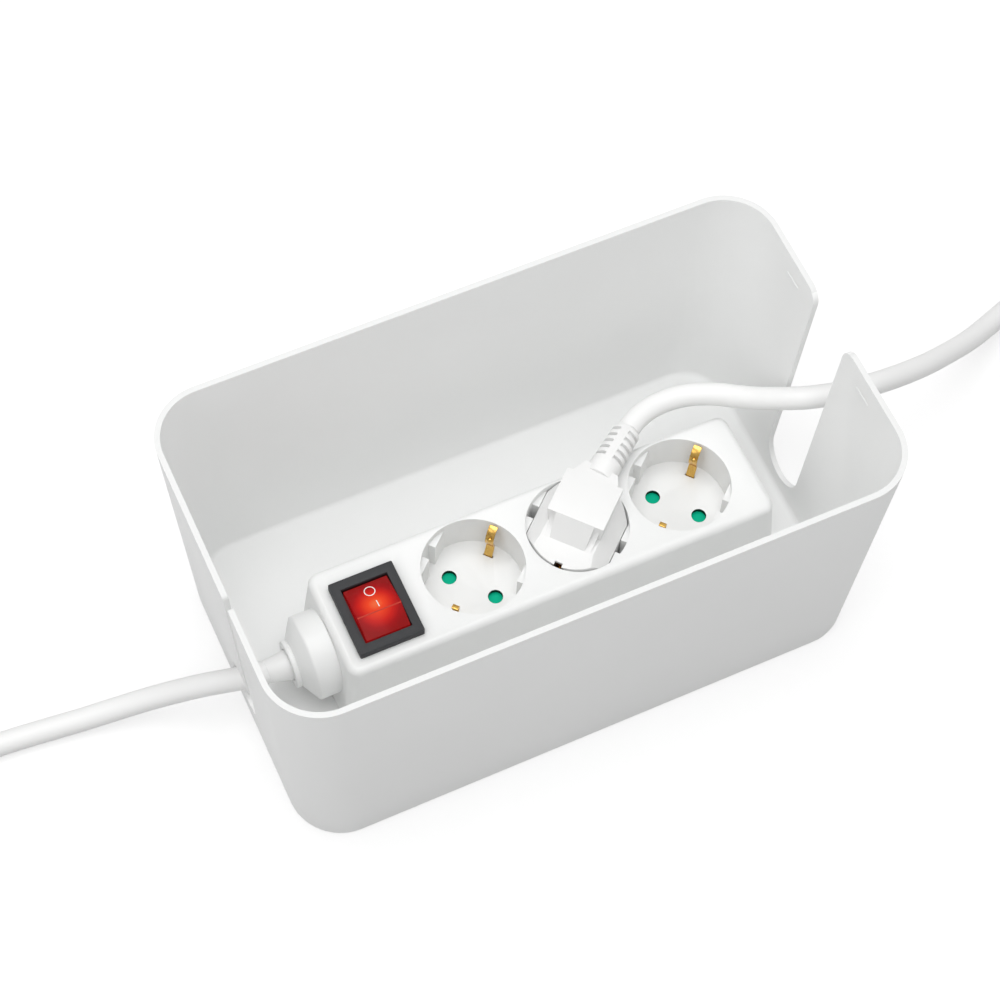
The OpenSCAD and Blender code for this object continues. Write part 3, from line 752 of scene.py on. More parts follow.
class Finishes:
    """Every finish of the object, made once and handed out by name."""

    def __init__(self) -> None:
        """Build the shared effects and the materials."""
        Effects.moulded()
        self.made: dict[str, bpy.types.Material] = {}
        for finish in (
            Moulding("tub_white", (0.91, 0.915, 0.91), (0.46, 0.54), 0.02, 2200.0, 0.22),
            # Painted shade: a darker copy of the tub's white for the rim's top, which tones down its lit top.
            Moulding("rim_shaded_white", (0.8, 0.805, 0.8), (0.6, 0.7), 0.02, 2200.0, 0.22, 0.2),
            Moulding("housing_white", (0.83, 0.835, 0.83), (0.3, 0.38), 0.02, 1500.0, 0.08),
            Moulding("base_white", (0.8, 0.8, 0.79), (0.45, 0.55)),
            Moulding("plug_white", (0.83, 0.83, 0.825), (0.34, 0.42), 0.02, 1500.0, 0.1),
            Moulding("relief_white", (0.85, 0.85, 0.845), (0.45, 0.55), 0.03, 1800.0, 0.15),
            Moulding("cord_white", (0.86, 0.86, 0.855), (0.36, 0.46), 0.03, 900.0, 0.12),
            Moulding("mark_white", (0.9, 0.9, 0.88), (0.4, 0.5)),
            Moulding("shutter_teal", (0.002, 0.53, 0.31), (0.4, 0.5), 0.06, shine=0.06),
            # Painted shade: plain red without the inner glow for the rocker's step facet, so a darker line
            # runs along the ridge.
            Moulding("ridge_shade_red", (0.6, 0.06, 0.04), (0.4, 0.5), 0.03, shine=0.1),
            # Painted shade: near-black green for the pin holes' walls, standing in for the shade gap between
            # the cup floor and the shutters.
            Moulding("hole_shade_green", (0.001, 0.045, 0.028), (0.6, 0.7), 0.06, shine=0.1),
            Moulding("bezel_grey", (0.042, 0.043, 0.046), (0.5, 0.6), 0.08, 1500.0, 0.2, 0.22),
            # Near black for the switch body's well, darker than the frame: partly its own dark plastic,
            # partly painted shade in the gap round the rocker.
            Moulding("well_shade_black", (0.008, 0.008, 0.009), (0.5, 0.6), 0.1),
            Moulding("wire_brown", (0.16, 0.06, 0.02)),
            Moulding("wire_blue", (0.02, 0.08, 0.4)),
            Moulding("wire_green", (0.2, 0.42, 0.03)),
            Moulding("tie_grey", (0.05, 0.05, 0.052), (0.7, 0.85), 0.25, 700.0, 0.8),
            SheetMetal("brass", (0.8, 0.52, 0.15), (0.5, 0.28, 0.06), (0.16, 0.3)),
            SheetMetal("steel", (0.72, 0.72, 0.73), (0.5, 0.5, 0.52)),
            LitRocker(),
            Moulding("lamp", (0.9, 0.4, 0.1)),
        ):
            self.made[finish.name] = finish.build()
        lamp = self.made["lamp"].node_tree.nodes["Principled BSDF"]
        Effects.fill(lamp, Emission_Color=(1.0, 0.3, 0.05, 1.0), Emission_Strength=1.5)

    def dress(self, obj: bpy.types.Object, name: str) -> None:
        """Give an object one finish all over.

        Args:
            obj: The object.
            name: Name of the finish.
        """
        obj.data.materials.clear()
        obj.data.materials.append(self.made[name])

    def patch(self, obj: bpy.types.Object, name: str, test: Test) -> None:
        """Give the faces that pass a test a second finish.

        Args:
            obj: The object.
            name: Name of the second finish.
            test: Test of a face's centre in millimetres and its normal.
        """
        obj.data.materials.append(self.made[name])
        last = len(obj.data.materials) - 1
        for face in obj.data.polygons:
            if test(face.center / MM, face.normal):
                face.material_index = last

    def stand_in(self, obj: bpy.types.Object, body: str, finish: str, slot: str, *nodes: str) -> None:
        """Finish a new piece: its material, its body and the nodes it stands for.

        Args:
            obj: The piece.
            body: The body it rides on.
            finish: Name of its finish, or empty if it has its own.
            slot: The record's material slot. Not used.
            nodes: The nodes that it replaces.
        """
        if finish:
            self.dress(obj, finish)
        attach(obj, body)
        if nodes:
            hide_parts(*nodes)
        LOG.info("%s: %d faces", obj.name, len(obj.data.polygons))


@dataclass
class Maker:
    """Something that models pieces and dresses them."""

    finishes: Finishes


@dataclass
class Tub(Maker):
    """The open tapered tub with its two cord ways."""

    length: float = 239.5
    width: float = 134.5
    height: float = 117.5
    wall: float = 2.1
    floor: float = 2.5
    corner: float = 21.0
    end_draft: float = 6.6
    side_draft: float = 2.6
    slot_wid: float = 22.5
    slot_y: float = 1.75
    slot_low: float = 9.0
    hole_r: float = 10.5
    hole_y: float = -6.5
    hole_z: float = 27.0
    slit_wid: float = 4.0
    rib_mid: float = 1.0
    rib_off: float = 26.5
    rib_len: float = 8.0
    rib_r: float = 0.7
    rib_down: float = 9.0
    rim_round: float = 0.85

    def shell(self) -> bpy.types.Object:
        """Model the round-cornered tapered shell with its hollow.

        Returns:
            The shell.
        """
        hx, hy, h = self.length / 2, self.width / 2, self.height
        tub = Bench.slab("tub", (0, 0), (hx, hy), 0, h)
        Bench.round_edges(tub, upright, self.corner, 18)
        draft = ((hx - self.end_draft) / hx, (hy - self.side_draft) / hy, 1)
        Bench.spread(tub, lambda c, n: c.z < 1, draft, (0, 0, 0))
        Bench.round_edges(tub, level(0, 0.5), 1.4, 4)
        Bench.pick(tub, Kind.FACE, lambda c, n: n.z > 0.9 and c.z > h - 1)
        bpy.ops.mesh.inset(thickness=self.wall * MM, depth=0)
        bpy.ops.mesh.extrude_region_move(TRANSFORM_OT_translate={"value": at(0, 0, self.floor - h)})
        k = 1 - self.floor / h
        bpy.ops.transform.resize(value=((hx - self.end_draft * k - self.wall) / (hx - self.wall),
                                        (hy - self.side_draft * k - self.wall) / (hy - self.wall), 1),
                                 center_override=at(0, 0, self.floor))
        Bench.done()
        flat = level(self.floor)
        Bench.round_edges(tub, lambda c, d: flat(c, d) and abs(c.x) < hx - 7 and abs(c.y) < hy - 4, 2.0, 4)
        return tub

    def build(self) -> None:
        """Model the tub, cut its cord ways and dress it."""
        tub = self.shell()
        hx, h = self.length / 2, self.height
        low, half = self.slot_low + self.slot_wid / 2, self.slot_wid / 2
        slot = Bench.drum("slot", (hx - 16, self.slot_y, low), half, 30, Axis.X)
        Bench.shift(slot, lambda c, n: c.z > low + 0.01, (0, 0, h))
        hole = Bench.drum("hole", (-hx - 8, self.hole_y, self.hole_z), self.hole_r, 24, Axis.X)
        slit_y = self.hole_y - self.hole_r
        slit = Bench.block("slit", (-hx - 8, slit_y, self.hole_z), (-hx + 14, slit_y + self.slit_wid, h + 9))
        Bench.carve(tub, (slot, hole, slit))
        for way, mid, reach, width, steps in ((1, self.slot_y, half, 6.0, 8),
                                              (-1, slit_y + self.slit_wid / 2, self.slit_wid / 2, 1.4, 4)):
            Bench.round_edges(tub, lambda c, d: c.z > h - 0.2 and abs(d.x) > 0.9 and c.x * way > hx - 6
                              and abs(c.y - mid) < reach + 0.5, width, steps)
        start = self.rib_mid - self.rib_len / 2
        ribs = [Bench.drum("rib", (sx * (hx - self.wall), start + sy * self.rib_off, h - self.rib_down),
                           self.rib_r, self.rib_len, Axis.Y, sides=24) for sx in SIDES for sy in SIDES]
        Bench.carve(tub, ribs, "UNION")
        Bench.soften(tub, self.rim_round, 5, 50)
        self.finishes.stand_in(tub, "box", "tub_white", "tub_white", "box_tub")
        # Painted shade: the rim's upward faces take the darker white, toning down their lit top.
        self.finishes.patch(tub, "rim_shaded_white", lambda c, n: c.z > h - 1.2 and n.z > 0.25)


@dataclass
class Strip(Maker):
    """The socket strip's housing with its three recesses."""

    length: float = 172.3
    width: float = 44.6
    top: float = 41.5
    foot: float = 2.8
    mid_x: float = 6.75
    mid_y: float = -2.3
    end_flare: float = 3.4
    side_flare: float = 2.0
    wall: float = 2.0
    pitch: float = 42.5
    first_x: float = -21.1
    socket_y: float = -1.3
    cup_r: float = 19.5
    cup_z: float = 24.0
    pin_angle: float = -48.5
    pin_off: float = 9.5
    pin_r: float = 2.85
    guide_wid: float = 5.4
    rest_in: float = 16.6
    rest_top: float = 38.0
    clip_off: float = 14.6
    pushed_off: float = 18.1
    clip_sheet: float = 0.8
    seat_mid: Pair = (-60.75, -2.75)
    seat_half: Pair = (16.25, 19.25)
    seat_deep: float = 1.9
    seat_foot: Pair = (0.785, 0.798)
    seat_up: Pair = (1.706, 1.653)
    way_low: Pair = (-71.9, -17.0)
    way_high: Pair = (-49.6, 10.7)
    gland: Point = (-90.0, -2.2, 22.0)
    gland_r: float = 9.0

    FREE: ClassVar[Outline] = ((14.6, 18.4), (14.6, 23.6), (15.3, 26.4), (16.4, 29.4), (15.3, 32.6),
                               (14.9, 35.4), (15.8, 38.2), (17.4, 39.8), (18.9, 40.3))
    NEAR: ClassVar[Outline] = ((14.6, 18.4), (14.6, 23.6), (15.4, 27.0), (16.2, 30.0), (15.4, 33.4),
                               (14.8, 35.2), (15.3, 36.2), (16.7, 36.4))
    PUSHED: ClassVar[Outline] = ((18.1, 18.4), (18.1, 26.0), (16.6, 31.8), (16.6, 34.2), (18.1, 36.5))

    def centres(self) -> list[float]:
        """Return the three sockets' places along the strip."""
        return [self.first_x + i * self.pitch for i in range(3)]

    def form(self, name: str, d: float, low: float, high: float) -> bpy.types.Object:
        """Model the tapered housing form, moved in by d.

        Args:
            name: Name of the object.
            d: How far every side is moved in.
            low: Lowest height.
            high: Highest height.

        Returns:
            The form.
        """
        hx, hy = self.length / 2 - d, self.width / 2 - d
        form = Bench.slab(name, (self.mid_x, self.mid_y), (hx, hy), low, high)
        Bench.round_edges(form, upright, 4.5 - d * 0.6, 8)
        flare = ((hx + self.end_flare) / hx, (hy + self.side_flare) / hy, 1)
        Bench.spread(form, lambda c, n: c.z < low + 1, flare, (self.mid_x, self.mid_y, low))
        return form

    def turned(self, obj: bpy.types.Object, x: float) -> bpy.types.Object:
        """Turn a piece modelled at the origin onto a socket's pin line.

        Args:
            obj: The piece.
            x: The socket's place along the strip.

        Returns:
            The same piece.
        """
        obj.data.transform(move((x, self.socket_y, 0), self.pin_angle))
        return obj

    def cuts(self, x: float) -> list[bpy.types.Object]:
        """Model what is cut out of the housing for one socket.

        Args:
            x: The socket's place along the strip.

        Returns:
            The round recess with its guides and rests, the pin holes and the ways of the earth clip.
        """
        z, guide = self.cup_z, self.guide_wid / 2
        recess = Bench.drum("recess", (x, self.socket_y, z), self.cup_r, 24, sides=128)
        rests = [Bench.block("rest", (s * self.rest_in, t * guide, z - 3), (s * 24, t * 22, self.rest_top))
                 for s in SIDES for t in SIDES]
        Bench.carve(recess, [self.turned(rest, x) for rest in rests])
        cuts = [recess]
        foot = self.pushed_off if x == self.first_x + self.pitch else self.clip_off
        for s in SIDES:
            cuts.append(Bench.drum("pin_hole", (*self.pin_place(x, s), z - 4), self.pin_r, 8, sides=48))
            cuts.append(self.turned(Bench.slab("clip_way", (0, s * foot), (1.95, 0.55), z - 4, z + 1), x))
        return cuts

    def pin_place(self, x: float, side: int) -> Pair:
        """Give a pin hole's place.

        Args:
            x: The socket's place along the strip.
            side: Which of its two holes, 1 or -1.

        Returns:
            The place in millimetres.
        """
        a = math.radians(self.pin_angle)
        out = side * self.pin_off
        return x + out * math.cos(a), self.socket_y + out * math.sin(a)

    def build(self) -> None:
        """Model and dress the housing."""
        body = self.form("strip_case", 0.0, self.foot, self.top)
        Bench.round_edges(body, level(self.top), 2.6, 6)
        Bench.carve(body, [self.form("hollow", self.wall, self.foot - 1, self.top - self.wall)])
        cups = [Bench.drum("cup", (x, self.socket_y, self.cup_z - 2), self.cup_r + 1.3,
                           self.top - self.cup_z + 1.2) for x in self.centres()]
        Bench.carve(body, cups, "UNION")
        Bench.carve(body, [cut for x in self.centres() for cut in self.cuts(x)])
        brim, rest = level(self.top, 0.05), level(self.rest_top, 0.05)
        for x in self.centres():
            mid, r = (x, self.socket_y), self.cup_r
            Bench.round_edges(body, lambda c, d: brim(c, d) and abs(math.dist(c.xy, mid) - r) < 0.2, 0.8, 4)
            Bench.round_edges(body, lambda c, d: rest(c, d) and math.dist(c.xy, mid) < r - 0.3, 0.9, 4)
        seat = Bench.slab("seat", self.seat_mid, self.seat_half, self.top - self.seat_deep, self.top + 3)
        Bench.round_edges(seat, upright, 2.0, 4)
        Bench.spread(seat, lambda c, n: c.z > self.top, (*self.seat_up, 1), (*self.seat_mid, 0))
        Bench.spread(seat, lambda c, n: True, (*self.seat_foot, 1), (*self.seat_mid, 0))
        way = Bench.block("way", (*self.way_low, self.top - 6), (*self.way_high, self.top + 3))
        gland = Bench.drum("gland_way", self.gland, self.gland_r, 14, Axis.X, sides=64)
        Bench.carve(body, (seat, way, gland))
        Bench.soften(body, 0.55, 3, 42)
        self.finishes.stand_in(body, "box", "housing_white", "housing_white", "strip_housing")
        holes = [self.pin_place(x, s) for x in self.centres() for s in SIDES]
        # Painted shade: the pin holes' walls under the cup floor are painted near-black green for the dark
        # shade gap over the shutters.
        self.finishes.patch(body, "hole_shade_green", lambda c, n: abs(n.z) < 0.2 and -2.1 < c.z - self.cup_z < -0.1
                            and any(math.dist(c.xy, p) < self.pin_r + 0.25 for p in holes))
        self.clips()

    def clips(self) -> None:
        """Model the bent earth blades and place two at every socket."""
        free = self.blade("free_blade", self.FREE, 36.2)
        near = self.blade("near_blade", self.NEAR, 0.0, 2.6)
        pushed = self.blade("pushed_blade", self.PUSHED, 33.0)
        for i, x in enumerate(self.centres()):
            blades = [Bench.copy(pushed if i == 1 else near if s else free, f"earth_spring_{i + 1}",
                                 move((x, self.socket_y, 0), self.pin_angle + s)) for s in (0, 180)]
            reach = 18.5 if i == 1 else 15.0
            bridge = Bench.slab("bridge", (0, 0), (1.75, reach), 18.0, 18.0 + self.clip_sheet)
            Bench.join(blades[0], [blades[1], self.turned(bridge, x)])
            self.finishes.stand_in(blades[0], "box", "brass", "brass", f"earth_clip_{i + 1}")
        for blade in (free, near, pushed):
            bpy.data.objects.remove(blade, do_unlink=True)

    def blade(self, name: str, bends: Sequence[Pair], knob_z: float, width: float = 3.3) -> bpy.types.Object:
        """Model one bent blade with the pressed knob near its top.

        Args:
            name: Name of the blade.
            bends: Place out from the socket's middle and height of each bend.
            knob_z: Height of the knob, or nothing for a plain blade.
            width: Width of the sheet.

        Returns:
            The blade.
        """
        path = [(p.x, p.y) for p in flow([Vector((*b, 0.0)) for b in bends], 3)]
        blade = Bench.ribbon(name, path, width, self.clip_sheet)
        Bench.soften(blade, 0.12, 2, 50)
        if not knob_z:
            return blade
        out = min(path, key=lambda p: abs(p[1] - knob_z))[0]
        Bench.clear()
        bpy.ops.mesh.primitive_uv_sphere_add(segments=24, ring_count=12, radius=1.25 * MM)
        knob = bpy.context.object
        knob.data.transform(move((0.25, out - 0.35, knob_z)) @ Matrix.Diagonal((0.9, 0.8, 1.1, 1)))
        bpy.ops.object.shade_smooth()
        Bench.join(blade, [knob])
        return blade


@dataclass
class Switch(Maker):
    """The lit rocker switch with its frame."""

    mid: Pair = (-60.75, -3.15)
    window_y: float = -3.25
    seat: float = 39.5
    top: float = 43.3
    length: float = 30.8
    width: float = 25.4
    window_len: float = 23.4
    window_wid: float = 18.4
    well_wall: float = 1.55
    well_deep: float = 11.1
    slope: float = 16.5
    peak: float = 3.5
    forward: float = 2.75
    step_wid: float = 0.35
    step_drop: float = 0.5
    back_short: float = 0.6
    back_drop: float = 0.5
    side_play: float = 0.55
    end_play: float = 0.4
    thick: float = 7.0
    ring_at: Pair = (0.2, 3.4)
    ring_r: float = 1.95
    stroke: float = 0.19
    bar_at: Pair = (0.7, -3.1)
    bar_half: float = 1.65

    def frame(self) -> None:
        """Model the frame and its well, near black: partly the switch body's dark plastic, partly painted
        shade in the gap round the rocker.
        """
        rim = Bench.slab("switch_rim", self.mid, (self.width / 2, self.length / 2), self.seat, self.top)
        Bench.round_edges(rim, upright, 0.5, 3)
        wx, wy, mid = self.window_wid / 2, self.window_len / 2, (self.mid[0], self.window_y)
        Bench.carve(rim, [Bench.slab("window", mid, (wx, wy), self.seat - 2, self.top + 2)])
        Bench.soften(rim, 0.22, 2, 40)
        well = Bench.slab("well", mid, (wx + 1.5, wy + 1.5), self.top - 13.9, self.top - 1.1)
        Bench.pick(well, Kind.FACE, lambda c, n: n.z > 0.9)
        bpy.ops.mesh.inset(thickness=self.well_wall * MM, depth=0)
        bpy.ops.mesh.extrude_region_move(TRANSFORM_OT_translate={"value": at(0, 0, -self.well_deep)})
        Bench.done()
        Bench.soften(well, 0.1, 1, 40)
        # The well's near black is partly its own dark plastic, partly painted shade in the gap round the
        # rocker.
        self.finishes.dress(well, "well_shade_black")
        self.finishes.dress(rim, "bezel_grey")
        Bench.join(rim, [well])
        self.finishes.stand_in(rim, "box", "", "bezel_grey", "switch_bezel")

    def rocker(self) -> None:
        """Model the roof-shaped rocker with its two marks."""
        x, y, t = self.mid[0], self.window_y, math.tan(math.radians(self.slope))
        half, side = self.window_len / 2 - self.end_play, self.window_wid / 2 - self.side_play
        ridge, line = self.top + self.peak, y - self.forward
        high, under = ridge - 0.1, ridge - self.thick + 0.1
        key = Bench.slab("rocker", (x, y), (side, half), ridge - self.thick, ridge)
        for place in (line, line - self.step_wid):
            Bench.pick(key, Kind.FACE, lambda c, n: True)
            bpy.ops.mesh.bisect(plane_co=at(x, place, 0), plane_no=(0, 1, 0))
            Bench.done()
        for test, by in (
                (lambda c, n: c.z > high and c.y < y - 8, (0, 0, -half * t + 0.1)),
                (lambda c, n: c.z > high and abs(c.y - line + self.step_wid) < 0.05, (0, 0, -self.step_drop)),
                (lambda c, n: c.z > high and c.y > y + 3, (0, -self.back_short, -half * t - self.back_drop)),
                (lambda c, n: c.z < under and c.y > y + 3, (0, -0.8, 0.2)),
                (lambda c, n: c.z < under and abs(c.y - line + 0.15) < 0.3, (0, 0, -3.0))):
            Bench.shift(key, test, by)
        Bench.soften(key, 0.22, 2, 8)
        self.finishes.dress(key, "lit_red")
        # Painted shade: the step facet at the ridge takes the plain red without the glow, a darker line along
        # the ridge.
        self.finishes.patch(key, "ridge_shade_red", lambda c, n: n.y < -0.5 and c.z > ridge - 1.4
                            and abs(c.y - line + 0.18) < 0.45)
        Bench.join(key, [self.ring(), self.bar()])
        self.finishes.stand_in(key, "rocker", "", "rocker_red", "switch_rocker")

    def on_face(self, place: Pair, up: float) -> Matrix:
        """Give the move that lays a mark on the rocker's back face.

        Args:
            place: The mark's place off the switch's middle along the strip, and its place across.
            up: How far it lies over the face.

        Returns:
            The move.
        """
        line, half = self.window_y - self.forward, self.window_len / 2 - self.end_play
        rise = half * math.tan(math.radians(self.slope)) + self.back_drop
        tilt = -math.atan(rise / (half + self.forward - self.back_short))
        height = self.top + self.peak + (place[1] - line) * math.tan(tilt)
        return move((self.mid[0] + place[0], place[1], height + up), math.degrees(tilt), "X")

    def ring(self) -> bpy.types.Object:
        """Model the round off mark.

        Returns:
            The mark.
        """
        Bench.clear()
        bpy.ops.mesh.primitive_torus_add(major_radius=self.ring_r * MM, minor_radius=self.stroke * MM,
                                         major_segments=48, minor_segments=8)
        ring = bpy.context.object
        ring.data.transform(self.on_face(self.ring_at, 0.02) @ Matrix.Diagonal((1, 1.08, 0.5, 1)))
        bpy.ops.object.shade_smooth()
        self.finishes.dress(ring, "mark_white")
        return ring

    def bar(self) -> bpy.types.Object:
        """Model the straight on mark.

        Returns:
            The mark.
        """
        bar = Bench.slab("bar", (0, 0), (self.stroke, self.bar_half), -0.1, 0.12)
        Bench.soften(bar, 0.08, 2, 40)
        bar.data.transform(self.on_face(self.bar_at, 0.0))
        self.finishes.dress(bar, "mark_white")
        return bar

    def build(self) -> None:
        """Model and dress the switch."""
        self.frame()
        self.rocker()


@dataclass
class Gland(Maker):
    """The collar and ring where the supply cord leaves the strip."""

    y: float = -2.2
    z: float = 22.0
    ring_x: float = -95.8
    ring_r: float = 9.2
    ring_wid: float = 2.1

    COLLAR: ClassVar[Outline] = ((1.8, 8.6), (6.6, 16.4), (16, 16.4))
    SLEEVE: ClassVar[Outline] = ((0, 4.55), (2.4, 4.75), (5.6, 5.4), (8.6, 5.9), (9.6, 5.9), (10.4, 4.7),
                                 (25, 4.7))

    def build(self) -> None:
        """Model and dress the collar, the ring and the cord's tapered sleeve."""
        collar = Bench.lathe("cord_collar", (self.ring_x, self.y, self.z), self.COLLAR, Axis.X, 128)
        foot = Bench.block("foot", (-100, -30, -20), (-70, 30, 5.1))
        core = Bench.drum("core", (-110, self.y, self.z), 4.8, 50, Axis.X, sides=64)
        Bench.carve(collar, (foot, core))
        Bench.soften(collar, 0.6, 3, 30)
        self.finishes.stand_in(collar, "box", "housing_white", "housing_white", "gland_collar")
        ring = Bench.drum("cord_ring", (self.ring_x, self.y, self.z), self.ring_r, self.ring_wid, Axis.X)
        Bench.carve(ring, [Bench.drum("core", (-110, self.y, self.z), 6.3, 40, Axis.X, sides=64)])
        Bench.soften(ring, 0.5, 3, 42)
        self.finishes.stand_in(ring, "box", "housing_white", "housing_white", "gland_ring")
        sleeve = Bench.lathe("cord_taper", (self.ring_x - 8.6, self.y, self.z), self.SLEEVE, Axis.X, 64)
        Bench.reshape(sleeve, lambda v: Vector((v.x, v.y, v.z + max(0.0, -98.0 - v.x) * 0.26)))
        Bench.soften(sleeve, 0.2, 2, 40)
        self.finishes.stand_in(sleeve, "box", "cord_white", "cord_white", "cord_sleeve")


@dataclass
class AnglePlug(Maker):
    """The angled plug in the middle socket, modelled along its cord and then turned."""

    x: float = 21.4
    y: float = -1.3
    turn: float = 41.5
    base_z: float = 24.3
    top_z: float = 43.8
    grip_z: float = 52.1
    r: float = 18.9
    flat: float = 16.3
    flank: float = 5.5
    half: float = 11.2
    lean: float = 0.7
    front: float = -3.6
    nose: float = -10.4
    pin_off: float = 9.5
    pin_r: float = 2.45
    groove_in: float = 15.0
    panel_half: float = 7.35
    tail_root: float = 14.0
    tail_turn: float = -5.0
    tail_z: float = 48.0
    ring_pitch: float = 3.06

    TAIL: ClassVar[Outline] = ((4.0, 5.7), (6.5, 6.0), (10.5, 5.85), (26.6, 5.35), (27.4, 4.7))

    def base(self) -> bpy.types.Object:
        """Model the round base with its flats, sloping sides, earth grooves and pin holes.

        Returns:
            The base.
        """
        top, low, foot = self.top_z, self.base_z - 5, self.half - self.lean
        disc = Bench.drum("plug_shell", (0, 0, self.base_z), self.r, top - self.base_z, sides=128)
        across = [(-30, y, z) for y, z in ((-self.flat, low), (self.flat, low), (self.flat, top - self.flank),
                                           (foot, top), (-foot, top), (-self.flat, top - self.flank))]
        along = [(x, -30, z) for x, z in ((-21, low), (21, low), (21, top + 1), (self.nose - 4.5, top + 1),
                                          (self.nose, top), (-21, top - 2.4))]
        forms = [Bench.prism("across", across, (60, 0, 0)), Bench.prism("along", along, (0, 60, 0))]
        Bench.carve(disc, forms, "INTERSECT")
        for s in SIDES:
            groove = Bench.block("groove", (s * self.groove_in, -2.45, 0), (s * 30, 2.45, top - 2.8))
            hole = Bench.drum("pin_seat", (0, s * self.pin_off, self.base_z - 2), self.pin_r, 7, sides=48)
            Bench.carve(disc, (groove, hole))
        Bench.carve(disc, [Bench.block("notch", (-30, -1.5, top - 4), (-17.4, 1.5, 60))])
        return disc

    def grip(self) -> list[bpy.types.Object]:
        """Model the grip's parts: its block, its neck, the hollow front and the sloping front panel.

        Returns:
            The parts, overlapping where they meet.
        """
        low, top, high, foot = self.top_z - 1.2, self.top_z, self.grip_z, self.half - self.lean
        front, nose, side = self.front, self.nose, self.panel_half
        block = Bench.prism("block", [(front, -foot, low), (front, foot, low), (front, self.half, high),
                                      (front, -self.half, high)], (19.1, 0, 0))
        round_it = ((10, -9.1), (16.3, -8.8), (19.9, -7.2), (21.0, 6.1), (16.3, 8.8), (10, 9.1))
        neck = Bench.prism("neck", [(x, y, low) for x, y in round_it], (0, 0, high - low - 0.05))
        hollow = [(p.x, p.z) for p in flow([Vector((x, 0, z)) for x, z in (
            (front, high), (front - 0.6, high - 3.6), (front - 2.9, top + 1.5), (nose, top))], 5)]
        hollow += [(nose + 0.3, low), (3, low), (3, high)]
        scoop = Bench.prism("scoop", [(x, -10, z) for x, z in hollow], (0, 20, 0))
        slope = ((front, high - 0.2), (nose + 0.2, top + 0.2), (nose + 0.2, low), (2, low), (2, high - 0.2))
        panel = Bench.prism("panel", [(x, -side, z) for x, z in slope], (0, 2 * side, 0))
        for part, least, more in ((scoop, 0.93, 0.09), (panel, 0.95, 0.1)):
            widen = more / (high - top)
            Bench.reshape(part, lambda v: Vector((v.x, v.y * (least + widen * (v.z - top)), v.z)))
        return [block, neck, scoop, panel]

    def tail(self) -> bpy.types.Object:
        """Model the cord relief: rings round the cord, joined along the top and the bottom.

        Returns:
            The relief, along X from the plug's middle.
        """
        tail = Bench.lathe("plug_tail", (0, 0, 0), self.TAIL, Axis.X)
        slots = []
        for i in range(5):
            slot = Bench.drum("slot", (11.5 + self.ring_pitch * i, 0, 0), 8, 1.4, Axis.X, sides=32)
            core = Bench.drum("core", (9, 0, 0), 4.0, 20, Axis.X, sides=48)
            Bench.carve(slot, (core, Bench.block("spine", (9, -1.6, -9), (29, 1.6, 9))))
            slots.append(slot)
        Bench.carve(tail, slots)
        Bench.soften(tail, 0.3, 2, 40)
        tail.data.transform(move((self.tail_root, 0, self.tail_z), self.tail_turn))
        return tail

    def build(self) -> None:
        """Model and dress the plug's shell and its cord relief."""
        place = move((self.x, self.y, 0), self.turn)
        shell = self.base()
        Bench.carve(shell, self.grip(), "UNION")
        Bench.soften(shell, 0.35, 3, 24)
        shell.data.transform(place)
        self.finishes.stand_in(shell, "plug", "plug_white", "plug_white", "plug_body")
        tail = self.tail()
        tail.data.transform(place)
        self.finishes.stand_in(tail, "plug", "relief_white", "relief_white", "plug_relief")


@dataclass
class Coil:
    """A neat coil: how its turns lie beside and on each other."""

    mid: Pair
    side: int
    turns: float
    r: float = 42.0
    d: float = 8.8
    gap: float = 0.4
    ramp: float = 90.0
    humps: Sequence[Point] = ((1015.0, 46.0, 1.6), (1416.0, 30.0, 1.5), (1764.0, 46.0, 9.1))

    def points(self) -> list[Point]:
        """Lay out the turns from the top of the ring and lead the end out straight.

        A hump is where a turn crosses another: the angle of its top, half its width in degrees, its height.

        Returns:
            The centreline's points in millimetres.
        """
        up, over, step = self.d / 2 + 0.1, self.d / 2 + 8.1, self.d + self.gap
        slots = [(self.r, up), (self.r - step, up), (self.r - step / 2, over), (self.r + step / 2, over),
                 (self.r + step, up)]
        humps = self.humps if self.turns > 4.9 else self.humps[:2]
        out: list[Point] = []
        total = 360.0 * self.turns
        steps = int(total / 12)
        for i in range(1, steps + 1):
            a = total * i / steps
            r, z = slots[0]
            for k, (near, far) in enumerate(zip(slots, slots[1:]), 1):
                t = min(max((a - (360 * k - 110)) / self.ramp, 0.0), 1.0)
                t = t * t * (3 - 2 * t)
                r += (far[0] - near[0]) * t
                z += (far[1] - near[1]) * t
            z += sum(h * math.cos(math.pi * (a - c) / (2 * w)) ** 2 for c, w, h in humps if abs(a - c) < w)
            ang = math.radians(90 + self.side * a)
            out.append((self.mid[0] + r * math.cos(ang), self.mid[1] + r * math.sin(ang), z))
        (x, y, _), before = out[-1], out[-2][2]
        out.extend((x - s, y, up if s > 10 else (before + up) / 2) for s in (7.0, 14.0, 21.0, 23.5))
        return out


@dataclass
class Lead:
    """A free cord as one smooth tube along its points."""

    name: str
    route: Sequence[Point]
    coil: Coil

    def build(self) -> tuple[bpy.types.Object, list[Vector]]:
        """Model the tube along the route and the coil, with the route's points filled in.

        Returns:
            The tube and its centreline in metres.
        """
        points = [Vector(p) for p in (*self.route, *self.coil.points())]
        line = [at(*p) for p in flow(points, 3, len(self.route))]
        return Bench.tube(self.name, line, self.coil.d / 2, 4, 50), line


